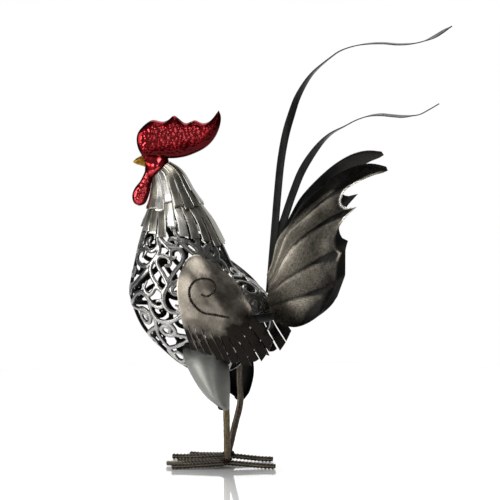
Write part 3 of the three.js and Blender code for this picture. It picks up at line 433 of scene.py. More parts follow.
def candy_enamel(colours, name, peel, gloss_coat):
    """Candy enamel: translucent red lacquer sprayed over bright pressed sheet. It glints red where the metal
    faces a light, goes to maroon where its tone carries painted shade, and carries a hard clear gloss."""
    material, shader = new_finish(name, Metallic=1.0, Coat_Roughness=0.1)
    place = add_node(material, "TexCoord", output="Object")
    tone = add_node(material, "Attribute", attribute_name="tone", output="Fac")
    cloud = add_node(material, "TexNoise", {"Vector": place, "Scale": per_metre(7)})
    # The tone is painted shade along the pressed edges, on the comb's underside and on the face under the
    # comb; the cloud makes the lacquer uneven.
    painted_shade = add_node(material, "Math", {0: cloud, 1: 0.35, 2: tone}, operation="MULTIPLY_ADD")
    middle = [(a + 2 * b) / 3 for a, b in zip(colours.enamel, colours.enamel_shade)]
    stops = [(0.2, colours.enamel_shade), (0.62, middle), (1.0, colours.enamel)]
    lacquer = add_node(material, "ValToRGB", {"Fac": painted_shade}, stops=stops)
    orange_peel = add_node(material, "TexNoise", {"Vector": place, "Scale": per_metre(1.5), "Detail": 4})
    gloss = add_node(material, "MapRange", {"Value": orange_peel, "To Min": 0.14, "To Max": 0.3})
    bump = add_node(material, "Bump", {"Height": orange_peel, "Distance": peel * MM})
    coat = {"Value": tone, "From Min": 0.4, "To Min": 0.05, "To Max": gloss_coat}
    clear = add_node(material, "MapRange", coat)
    feed(material, shader, Base_Color=lacquer, Roughness=gloss, Normal=bump, Coat_Weight=clear)
    return material


def tarnished_brass(colours):
    """Cast brass, filed and tarnished: dull gold with brown in the file marks."""
    material, shader = new_finish("tarnished brass", Metallic=1.0)
    place = add_node(material, "TexCoord", output="Object")
    marks = add_node(material, "TexNoise", {"Vector": place, "Scale": per_metre(3), "Detail": 5})
    stops = [(0.32, shade(colours.beak, 0.3)), (0.62, colours.beak)]
    tarnish = add_node(material, "ValToRGB", {"Fac": marks}, stops=stops)
    dull = add_node(material, "MapRange", {"Value": marks, "To Min": 0.28, "To Max": 0.5})
    bump = add_node(material, "Bump", {"Height": marks, "Distance": 0.12 * MM})
    feed(material, shader, Base_Color=tarnish, Roughness=dull, Normal=bump)
    return material


def linished_strip_steel(colours):
    """Mild steel strip, linished along its length: bright grey with fine lines, and brown grey by its tone,
    which is partly torch tint and partly painted highlight and shade. The lines are really 0.1 mm apart and
    are drawn 0.5 mm apart so that they show."""
    material, shader = new_finish("linished strip steel", Metallic=1.0)
    lines = brushed(material, 0.5, 18)
    stain = brushed(material, 8, 14, detail=5)
    # The tone is partly torch tint and partly painted highlight and shade; the stain cloud makes it uneven.
    light_and_tint = smoked(material, stain, -0.2, 0.25, span=(0.35, 0.7))
    stops = [(0.1, colours.strip_bright), (0.5, colours.strip_warm), (1.0, shade(colours.strip_warm, 0.55))]
    tint = add_node(material, "ValToRGB", {"Fac": light_and_tint}, stops=stops)
    steel = scored(material, tint, lines, (0.3, 0.6), 0.66)
    gloss = add_node(material, "MapRange", {"Value": lines, "To Min": 0.2, "To Max": 0.42})
    bump = add_node(material, "Bump", {"Height": lines, "Distance": 0.05 * MM})
    feed(material, shader, Base_Color=steel, Roughness=gloss, Normal=bump)
    return material


def rubbed_pewter(colours):
    """Pressed scrollwork, patinated and rubbed back: silver on the crests, black in the folds and inside,
    which is partly patina and partly painted shade.
    """
    material, shader = new_finish("rubbed pewter", Metallic=1.0)
    place = add_node(material, "TexCoord", output="Object")
    coarse = {"Vector": place, "Scale": per_metre(2), "Detail": 5, "Roughness": 0.6}
    grain = add_node(material, "TexNoise", coarse)
    cloud = add_node(material, "TexNoise", {"Vector": place, "Scale": per_metre(14), "Detail": 3})
    tone = add_node(material, "Attribute", attribute_name="tone", output="Fac")
    uneven = add_node(material, "Math", {0: grain, 1: 0.35, 2: tone}, operation="MULTIPLY_ADD")
    rub = add_node(material, "Math", {0: cloud, 1: 0.5, 2: uneven}, operation="MULTIPLY_ADD")
    half = shade(colours.pewter, 0.3)
    stops = [(0.56, colours.patina), (0.8, half), (1.0, shade(colours.pewter, 0.85))]
    scaled = add_node(material, "Math", {0: rub, 1: 0.78}, operation="MULTIPLY", use_clamp=True)
    skin_tint = add_node(material, "ValToRGB", {"Fac": scaled}, stops=stops)
    gloss = add_node(material, "MapRange", {"Value": scaled, "From Min": 0.5, "To Min": 0.5, "To Max": 0.26})
    bump = add_node(material, "Bump", {"Height": grain, "Distance": 0.15 * MM})
    feed(material, shader, Base_Color=skin_tint, Roughness=gloss, Normal=bump)
    return material


def burnt_wing_steel(colours):
    """Wing plate, sanded along its feathers and burnt towards the fringe: champagne grey that runs to black,
    with painted shade over its crown and rear and a painted highlight along one edge of each fringe strip.
    The sanding is really 0.2 mm wide and is drawn 0.8 mm wide so that it shows."""
    material, shader = new_finish("burnt wing steel", Metallic=1.0)
    sanding = brushed(material, 0.8, 2.2, detail=5)
    place = add_node(material, "TexCoord", output="Object")
    cloud = add_node(material, "TexNoise", {"Vector": place, "Scale": per_metre(14), "Detail": 5})
    # The tone carries the fringe's burn, and painted shade and highlight.
    burn = smoked(material, cloud, -0.16, 0.18)
    stops = [(0.1, colours.wing), (0.4, shade(colours.wing, 0.45)), (0.72, colours.fringe)]
    tint = add_node(material, "ValToRGB", {"Fac": burn}, stops=stops)
    steel = scored(material, tint, sanding, (0.32, 0.62), 0.55, share=0.8)
    gloss = add_node(material, "MapRange", {"Value": sanding, "To Min": 0.26, "To Max": 0.4})
    bump = add_node(material, "Bump", {"Height": sanding, "Distance": 0.1 * MM})
    feed(material, shader, Base_Color=steel, Roughness=gloss, Normal=bump)
    return material


def weld_metal(colours):
    """Weld metal left as it froze: brown and blue black scale over ripples, with a few bright spots."""
    material, shader = new_finish("weld metal", Metallic=0.95)
    place = add_node(material, "TexCoord", output="Object")
    scale = add_node(material, "TexNoise", {"Vector": place, "Scale": per_metre(2.2), "Detail": 5})
    stops = [(0.36, shade(colours.bead, 0.3)), (0.52, colours.bead), (0.72, shade(colours.bead, 3))]
    tint = add_node(material, "ValToRGB", {"Fac": scale}, stops=stops)
    gloss = add_node(material, "MapRange", {"Value": scale, "To Min": 0.55, "To Max": 0.25})
    bump = add_node(material, "Bump", {"Height": scale, "Distance": 0.25 * MM})
    feed(material, shader, Base_Color=tint, Roughness=gloss, Normal=bump)
    return material


def satin_thigh_steel(colours):
    """Beaten shell, rubbed with a fine pad: even satin grey with faint cross scratches, painted shadow under
    the wing and painted shade inside. The scratches are really 0.1 mm wide and are drawn 0.6 mm wide so that
    they show."""
    material, shader = new_finish("satin thigh steel", Metallic=1.0)
    scratch = brushed(material, 9, 0.6)
    place = add_node(material, "TexCoord", output="Object")
    cloud = add_node(material, "TexNoise", {"Vector": place, "Scale": per_metre(12), "Detail": 4})
    thigh_shadow = smoked(material, cloud, -0.1, 0.12)
    stops = [(0.1, colours.thigh), (0.9, shade(colours.patina, 0.8))]
    tint = add_node(material, "ValToRGB", {"Fac": thigh_shadow}, stops=stops)
    steel = scored(material, tint, scratch, (0.3, 0.65), 0.84)
    gloss = add_node(material, "MapRange", {"Value": cloud, "To Min": 0.4, "To Max": 0.52})
    bump = add_node(material, "Bump", {"Height": scratch, "Distance": 0.03 * MM})
    feed(material, shader, Base_Color=steel, Roughness=gloss, Normal=bump)
    return material


def scaled_bar(name, tint, rust):
    """Hot rolled bar with its mill scale on: dull bronze grey, worn brighter on top and brown in the pits."""
    material, shader = new_finish(name, Metallic=0.9)
    place = add_node(material, "TexCoord", output="Object")
    coarse = {"Vector": place, "Scale": per_metre(1.8), "Detail": 5, "Roughness": 0.6}
    pits = add_node(material, "TexNoise", coarse)
    streak = brushed(material, 3, 22)
    tone = add_node(material, "Attribute", attribute_name="tone", output="Fac")
    pitted = add_node(material, "Math", {0: pits, 1: 0.6, 2: tone}, operation="MULTIPLY_ADD")
    wear = add_node(material, "Math", {0: streak, 1: 0.4, 2: pitted}, operation="MULTIPLY_ADD")
    stops = [(0.36, shade(tint, 0.2)), (0.44, rust), (0.54, tint), (0.8, shade(tint, 2.4))]
    scale = add_node(material, "ValToRGB", {"Fac": wear}, stops=stops)
    gloss = add_node(material, "MapRange", {"Value": pits, "To Min": 0.3, "To Max": 0.6})
    bump = add_node(material, "Bump", {"Height": pits, "Distance": 0.2 * MM})
    feed(material, shader, Base_Color=scale, Roughness=gloss, Normal=bump)
    return material


def scratched_gunmetal(colours):
    """Tail plate, sanded crosswise and blackened from its rim: beige grey at the root and black at the outer
    edge, with painted shade along its creases and bare silver on its worn points. The scratches are really
    0.2 mm apart and are drawn 0.8 mm apart so that they show."""
    material, shader = new_finish("scratched gunmetal", Metallic=1.0)
    fine = brushed(material, 0.8, 7, detail=5)
    crossing = brushed(material, 6, 0.8, detail=5)
    scratch = add_node(material, "Math", {0: fine, 1: crossing}, operation="MULTIPLY")
    place = add_node(material, "TexCoord", output="Object")
    cloud = add_node(material, "TexNoise", {"Vector": place, "Scale": per_metre(18), "Detail": 5})
    black = smoked(material, cloud, -0.08, 0.08)
    silver, base = shade(colours.strip_bright, 0.9), colours.tail_base
    stops = [(0.0, silver), (0.06, base), (0.5, shade(base, 0.42)), (0.9, colours.tail_edge)]
    tint = add_node(material, "ValToRGB", {"Fac": black}, stops=stops)
    steel = scored(material, tint, scratch, (0.18, 0.32), 0.3)
    gloss = add_node(material, "MapRange", {"Value": scratch, "To Min": 0.24, "To Max": 0.6})
    bump = add_node(material, "Bump", {"Height": scratch, "Distance": 0.12 * MM})
    feed(material, shader, Base_Color=steel, Roughness=gloss, Normal=bump)
    return material


def blackened_steel(name, tint):
    """Sheet blacked with hot oil: near black and satin, with a soft sheen along each strip."""
    material, shader = new_finish(name, Metallic=0.8)
    lines = brushed(material, 1.2, 40)
    place = add_node(material, "TexCoord", output="Object")
    cloud = add_node(material, "TexNoise", {"Vector": place, "Scale": per_metre(18), "Detail": 4})
    film = add_node(material, "ValToRGB", {"Fac": cloud}, stops=[(0.35, tint), (0.75, shade(tint, 2))])
    gloss = add_node(material, "MapRange", {"Value": lines, "To Min": 0.26, "To Max": 0.46})
    bump = add_node(material, "Bump", {"Height": lines, "Distance": 0.04 * MM})
    feed(material, shader, Base_Color=film, Roughness=gloss, Normal=bump)
    return material


# Head


COMB_LOW = [
    [-104.9, 357.8], [-102.4, 354.6], [-94.5, 353.8], [-83, 353.8], [-72.8, 353.2], [-63.2, 353.6],
    [-52.4, 355.6], [-42.9, 359], [-33.3, 363.6], [-24.9, 369.8], [-18.3, 378], [-13.8, 387.4],
    [-11.6, 396.7], [-11.8, 403], [-14.1, 408.8],
]
COMB_HIGH = [
    [-104.9, 357.8], [-108.9, 365.5], [-110.3, 374.9], [-108.2, 383.2], [-101.6, 390.9], [-94.8, 395.9],
    [-89.6, 397.3], [-83.4, 395.9], [-77.8, 395.6], [-72.6, 397.8], [-66.4, 402.4], [-60.7, 399],
    [-55.9, 395.2], [-51.2, 394], [-46.4, 395.7], [-41.6, 397.3], [-36.8, 395.3], [-32, 394],
    [-26.1, 395.4], [-21.3, 399.4], [-17.7, 404], [-14.1, 408.8],
]
FACE_LOW = [
    [-103, 353], [-101.2, 348], [-99.2, 343], [-100.4, 337], [-96, 331], [-89.7, 331.2], [-84.9, 334.4],
    [-77.7, 338], [-73.2, 342.6], [-72.2, 349],
]
FACE_HIGH = [
    [-103, 353], [-103.6, 357.6], [-100, 359.4], [-95, 360], [-90, 360], [-85, 359.4], [-80, 358.4],
    [-76, 356.6], [-73.4, 353.4], [-72.2, 349],
]
BEAK_TOP = [[-114.6, 348.9], [-111, 352.6], [-105, 356], [-97, 358]]
BEAK_BOTTOM = [[-114.6, 348.5], [-110.4, 346.2], [-105, 344.6], [-97, 342]]
COMB_FIELD = (-112, -10, 354, 412)  # where its punch marks lie, from left to right and from low to high
WATTLE_FIELD = (-118, -90, 295, 340)
CHEEK_RISE = 4.2  # kept back from the face's thickness for the cheek
WATTLE_FRONT = [
    [-93, 343], [-99.4, 340], [-102.6, 333.5], [-106.2, 326.8], [-112, 319.6], [-115, 313.4],
    [-115.6, 307.4], [-113.6, 301.4], [-107.9, 297.9],
]
WATTLE_BACK = [
    [-93, 343], [-90.6, 336], [-91.2, 330.5], [-92.8, 325.5], [-94.4, 316.1], [-96.6, 308.6],
    [-99.4, 302.4], [-103, 299.2], [-107.9, 297.9],
]


def outline_gap(points, edge):
    """Distances in the side view from points to a closed outline."""
    a, b = edge, np.roll(edge, -1, axis=0)
    ab = b - a
    best = np.full(len(points), np.inf)
    for start, step in zip(a, ab):
        arm = points - start
        share = np.clip((arm @ step) / max(step @ step, 1e-9), 0, 1)
        best = np.minimum(best, np.linalg.norm(arm - share[:, None] * step, axis=1))
    return best


def pressed_form(surface, low, high, half, shoulder, size, relief, painted_shade=(-1, 0), easing=60):
    """A hollow form pressed in two halves between a lower and an upper edge. It swells over its shoulder's
    width and is flat beyond it. Relief adds to its height, in millimetres. Its tone is painted shade: dark
    near its outline, and going from dark at the first of the given shares of the way up to light at the
    second."""
    rows, columns = size
    t, f = np.linspace(0, 1, rows), np.linspace(0, 1, columns)
    f = 0.5 - 0.5 * np.cos(np.pi * f)
    lower, upper = spline(low, t), spline(high, t)
    flat = lower[:, None] + (upper - lower)[:, None] * f[None, :, None]
    edge = np.concatenate([lower, upper[::-1]])
    gap = outline_gap(flat.reshape(-1, 2), edge).reshape(rows, columns)
    gap[:, 0] = gap[:, -1] = 0
    gap[0] = gap[-1] = 0
    rise = np.clip(gap / shoulder, 0, 1)
    height = half * np.sqrt(np.clip(1 - (1 - rise) ** 2.2, 0, 1))
    for _ in range(easing):
        beside = height[:-2, 1:-1] + height[2:, 1:-1] + height[1:-1, :-2] + height[1:-1, 2:]
        height[1:-1, 1:-1] = beside / 4
    # Painted shade: dark along the outline where the sheet turns away from the lamps, and between the given
    # shares.
    tone = smooth_step(0.12, 0.62, rise) * smooth_step(*painted_shade, f)[None]
    for side in (LEFT, RIGHT):
        lifted = height.copy()
        lifted += relief(flat[..., 0], flat[..., 1], side) * smooth_step(0.05, 0.5, rise)
        points = np.stack([flat[..., 0], side * lifted, flat[..., 1]], -1)
        faces = grid_faces(rows, columns)
        surface.add(points, faces if side == LEFT else [g[::-1] for g in faces], flat, tone)


def hammered(pitch, depth, box, seed):
    """Relief of punch marks from within: round bumps about a pitch apart that meet in narrow valleys."""
    draw = np.random.default_rng(seed)
    x0, x1, z0, z1 = box
    columns, rows = int((x1 - x0) / pitch) + 2, int((z1 - z0) / pitch) + 2
    marks = {}
    for side in (LEFT, RIGHT):
        i, j = np.meshgrid(np.arange(columns), np.arange(rows), indexing="ij")
        shift = draw.uniform(-0.42, 0.42, (2, columns, rows))
        x = x0 + (i + 0.5 * (j % 2) + shift[0]) * pitch
        z = z0 + (j + shift[1]) * pitch
        marks[side] = np.stack([x.ravel(), z.ravel()], 1)

    def relief(x, z, side):
        flat = np.stack([x.ravel(), z.ravel()], 1)
        nearest = np.full(len(flat), np.inf)
        for mark in marks[side]:
            arm = flat - mark
            nearest = np.minimum(nearest, (arm**2).sum(1))
        hollow = np.clip(np.sqrt(nearest) / (0.62 * pitch), 0, 1) ** 2
        return (-depth * hollow).reshape(x.shape)

    return relief


def weld_seam(made, distance=0.02):
    """Joins the two pressed halves along their shared edge."""
    weld = made.modifiers.new("seam", "WELD")
    weld.merge_threshold = distance * MM
    return settle(made)


def swelling(x, z, centre, half_length, half_height, rise):
    """Relief of one smooth swelling."""
    return rise * np.exp(-(((x - centre[0]) / half_length) ** 2) - ((z - centre[1]) / half_height) ** 2)


def cheek_relief(x, z, _):
    """Relief of the face: a tall cheek and a small ear behind it. The face sinks in towards the comb."""
    sunken = -3.0 * smooth_step(345, 357, z)
    cheek = swelling(x, z, (-82.0, 343.5), 4.8, 11.0, 5.2)
    ear = swelling(x, z, (-73.5, 346.5), 3.2, 3.6, 2.6)
    return cheek + ear + sunken


def beak_casting(half):
    """A beak that grows from its point, with a groove along the mouth. Half is half of its thickness."""
    sides, share = 28, np.linspace(0.02, 1, 20)
    turn = np.linspace(0, 2 * np.pi, sides, endpoint=False)
    pinch = 1 - 0.12 * np.exp(-((np.sin(turn) + 0.12) ** 2) / 0.01)
    rings = []
    for (x0, z0), (x1, z1), s in zip(spline(BEAK_TOP, share), spline(BEAK_BOTTOM, share), share):
        x = x0 + (x1 - x0) * (1 - np.sin(turn)) / 2
        y = half * math.sqrt(s) * np.cos(turn) * pinch
        z = (z0 + z1) / 2 + (z0 - z1) / 2 * np.sin(turn)
        rings.append(np.stack([x, y, z], 1))
    rings = np.array(rings)
    last = (len(rings) - 1) * sides
    faces = grid_faces(len(rings), sides, wrap=True)
    faces += [list(range(sides))[::-1], [last + k for k in range(sides)]]
    surface = Surface()
    surface.add(rings, faces, rings[..., ::2])
    return surface


class ROOSTER_OT_head(bpy.types.Operator):
    """Presses the comb, face and wattle, and casts the beak"""

    bl_idname = "rooster.head"
    bl_label = "Head"

    def execute(self, context):
        sizes, colours = context.scene.rooster_sizes, context.scene.rooster_colours
        rough = candy_enamel(colours, "candy enamel on hammered sheet", 0.03, 1.0)
        even = candy_enamel(colours, "candy enamel on smooth sheet", 0.02, 0.9)
        pitch, depth = sizes.hammer_mark / MM, sizes.hammer_depth / MM

        comb = Surface()
        marks = hammered(pitch, depth, COMB_FIELD, 11)
        # The comb darkens towards its lower edge with painted shade.
        pressed_form(comb, COMB_LOW, COMB_HIGH, sizes.comb_half / MM, 15, (190, 90), marks, (0.12, 0.5))
        made = weld_seam(comb.build("comb_pressing"))
        piece(made, rough, "red_enamel", "comb", smooth_angle=180)

        face = Surface()
        shape = (110, 90)
        half = sizes.face_half / MM - CHEEK_RISE
        # The face darkens at its top, under the comb, with painted shade.
        pressed_form(face, FACE_LOW, FACE_HIGH, half, 12, shape, cheek_relief, (1.0, 0.72), 240)
        made = weld_seam(face.build("face_pressing"))
        piece(made, even, "red_enamel", "head", smooth_angle=180)

        wattle = Surface()
        marks = hammered(pitch, depth, WATTLE_FIELD, 12)
        pressed_form(wattle, WATTLE_BACK, WATTLE_FRONT, sizes.wattle_half / MM, 8, (100, 60), marks)
        made = weld_seam(wattle.build("wattle_pressing"))
        piece(made, rough, "red_enamel", "wattle", smooth_angle=180)

        beak = beak_casting(0.96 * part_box("beak")[1].y / MM)
        piece(beak.build("beak_casting"), tarnished_brass(colours), "brass", "beak", smooth_angle=60)
        return {"FINISHED"}


# Neck


COLLAR, FLUSH = 3.7, 5.0  # stations at which the openwork starts and comes flush with the body
COLLAR_INSET = 1.4
LOWER_TOP = 1.9
LOWER_SUNK, LOWER_CLEAR = -3.0, 2.05  # how far the lower tier stands off at its top, and over the openwork
UPPER_SUNK, UPPER_CLEAR = -1.5, 2.4  # the same for the upper tier over the lower one
# The station where each strip ends, from the breast to the back.
UPPER_TIPS = [2.5, 2.6, 2.6, 2.8, 2.3, 2.7, 2.95, 2.85, 2.75]
LOWER_TIPS = [3.95, 4.1, 4.3, 4.4, 4.55, 4.05, 4.5, 4.6, 4.75, 5.0, 4.9]
# How dark each strip is painted, from the breast to the back: partly torch tint, and partly painted highlight
# on the strips that face the lamps and painted shade on the others.
UPPER_LIGHT_AND_TINT = [0.7, 0.75, 0.7, 0.12, 0.16, 0.78, 0.92, 0.95, 0.9]
LOWER_LIGHT_AND_TINT = [0.6, 0.6, 0.55, 0.5, 0.62, 0.04, 0.0, 0.5, 0.66, 0.9, 0.9]


def openwork_offset(v):
    """The openwork is set in under the collar and comes flush with the body further down."""
    return -COLLAR_INSET * np.clip((FLUSH - v) / (FLUSH - COLLAR), 0, 1)


def lower_offset(v):
    v = np.asarray(v, float)
    seated = openwork_offset(np.maximum(v, COLLAR)) + LOWER_CLEAR
    rising = LOWER_SUNK + (seated - LOWER_SUNK) * (v - LOWER_TOP) / (COLLAR - LOWER_TOP)
    return np.where(v > COLLAR, seated, rising)


def upper_offset(v):
    v = np.asarray(v, float)
    seated = lower_offset(np.maximum(v, LOWER_TOP)) + UPPER_CLEAR
    return np.where(v > LOWER_TOP, seated, UPPER_SUNK + (seated - UPPER_SUNK) * v / LOWER_TOP)


def strip_tier(name, count, sheet, tips, light_and_tint, top, slit, gap, offset_at, seed):
    """A ring of cut strips, side by side down to the slit and apart below it. Each follows the neck, with its
    own slight tilt, twist and kick at the tip."""
    draw = np.random.default_rng(seed)
    surface = Surface()
    rows, columns = 22, 5
    half = count // 2
    share, s = np.linspace(0, 1, rows), np.linspace(-0.5, 0.5, columns)
    for k in range(count):
        own = k if k < half else count - 1 - k
        drop = tips[own] - top
        v = top + drop * share
        open_share = smooth_step(slit - 0.5, slit + 0.4, v)
        width = (1 - gap * (0.25 + 0.75 * open_share)) * 2 / count
        u = (2 * k + 1) / count + width[:, None] * s[None]
        tilt, kick, bow = draw.uniform(-1, 1, 3)
        shingle = -1.1 if k < half else 1.1
        lift = (shingle + 0.6 * tilt) * s[None] * (0.35 + 0.65 * open_share)[:, None]
        lift = lift + (0.6 * kick * smooth_step(0.75, 1, share) ** 2)[:, None]
        lift = lift + (0.25 * bow * np.sin(np.pi * share))[:, None]
        grid = over(np.broadcast_to(v[:, None], u.shape), u, offset_at(v)[:, None] + lift)
        chord = grid[:, :1] + (grid[:, -1:] - grid[:, :1]) * (s + 0.5)[None, :, None]
        grid = grid + (chord - grid) * (0.85 * open_share)[:, None, None]
        skew = 0.2 * draw.uniform(-1, 1) * drop
        slanted = (grid[-1:] - grid[-2:-1]) * (s * skew)[None, :, None]
        grid = grid + slanted * (share**8)[:, None, None]
        across = s * np.linalg.norm(grid[-1, -1] - grid[-1, 0]) + 40 * k
        run = run_lengths(grid[:, columns // 2])
        brush = np.stack(np.broadcast_arrays(across[None], run[:, None]), -1)
        # Painted highlight along both edges of each strip, and painted shade over the upper part of each strip
        # under the head.
        edge = np.abs(s[None]) > 0.4
        shaded = 0.3 * (1 - smooth_step(0.15, 0.75, share[:, None]))
        tone = light_and_tint[own] + 0.08 * draw.uniform(-1, 1) + shaded - 0.6 * edge
        surface.add(grid, grid_faces(rows, columns), brush, np.clip(np.broadcast_to(tone, u.shape), 0, 1))
    made = surface.build(name)
    return rolled_edge(made, sheet, 0.28)


# Top and slit are stations of the body, and gap is the share of a strip that is cut away.
UPPER_TIER = {
    "tips": UPPER_TIPS,
    "light_and_tint": UPPER_LIGHT_AND_TINT,
    "top": 0.12,
    "slit": 1.0,
    "gap": 0.07,
    "offset_at": upper_offset,
    "seed": 21,
}
LOWER_TIER = {
    "tips": LOWER_TIPS,
    "light_and_tint": LOWER_LIGHT_AND_TINT,
    "top": LOWER_TOP,
    "slit": 3.3,
    "gap": 0.17,
    "offset_at": lower_offset,
    "seed": 22,
}


class ROOSTER_OT_neck(bpy.types.Operator):
    """Cuts and bends both tiers of neck strips"""

    bl_idname = "rooster.neck"
    bl_label = "Neck strips"

    def execute(self, context):
        sizes, colours = context.scene.rooster_sizes, context.scene.rooster_colours
        steel = linished_strip_steel(colours)
        for tier, count, shape in (
            ("upper_neck", sizes.upper_strips, UPPER_TIER),
            ("lower_neck", sizes.lower_strips, LOWER_TIER),
        ):
            made = strip_tier(tier + "_strips", count, sizes.strip_sheet / MM, **shape)
            piece(made, steel, "feather_steel", tier + "_feathers", smooth_angle=35)
        return {"FINISHED"}


# Openwork body


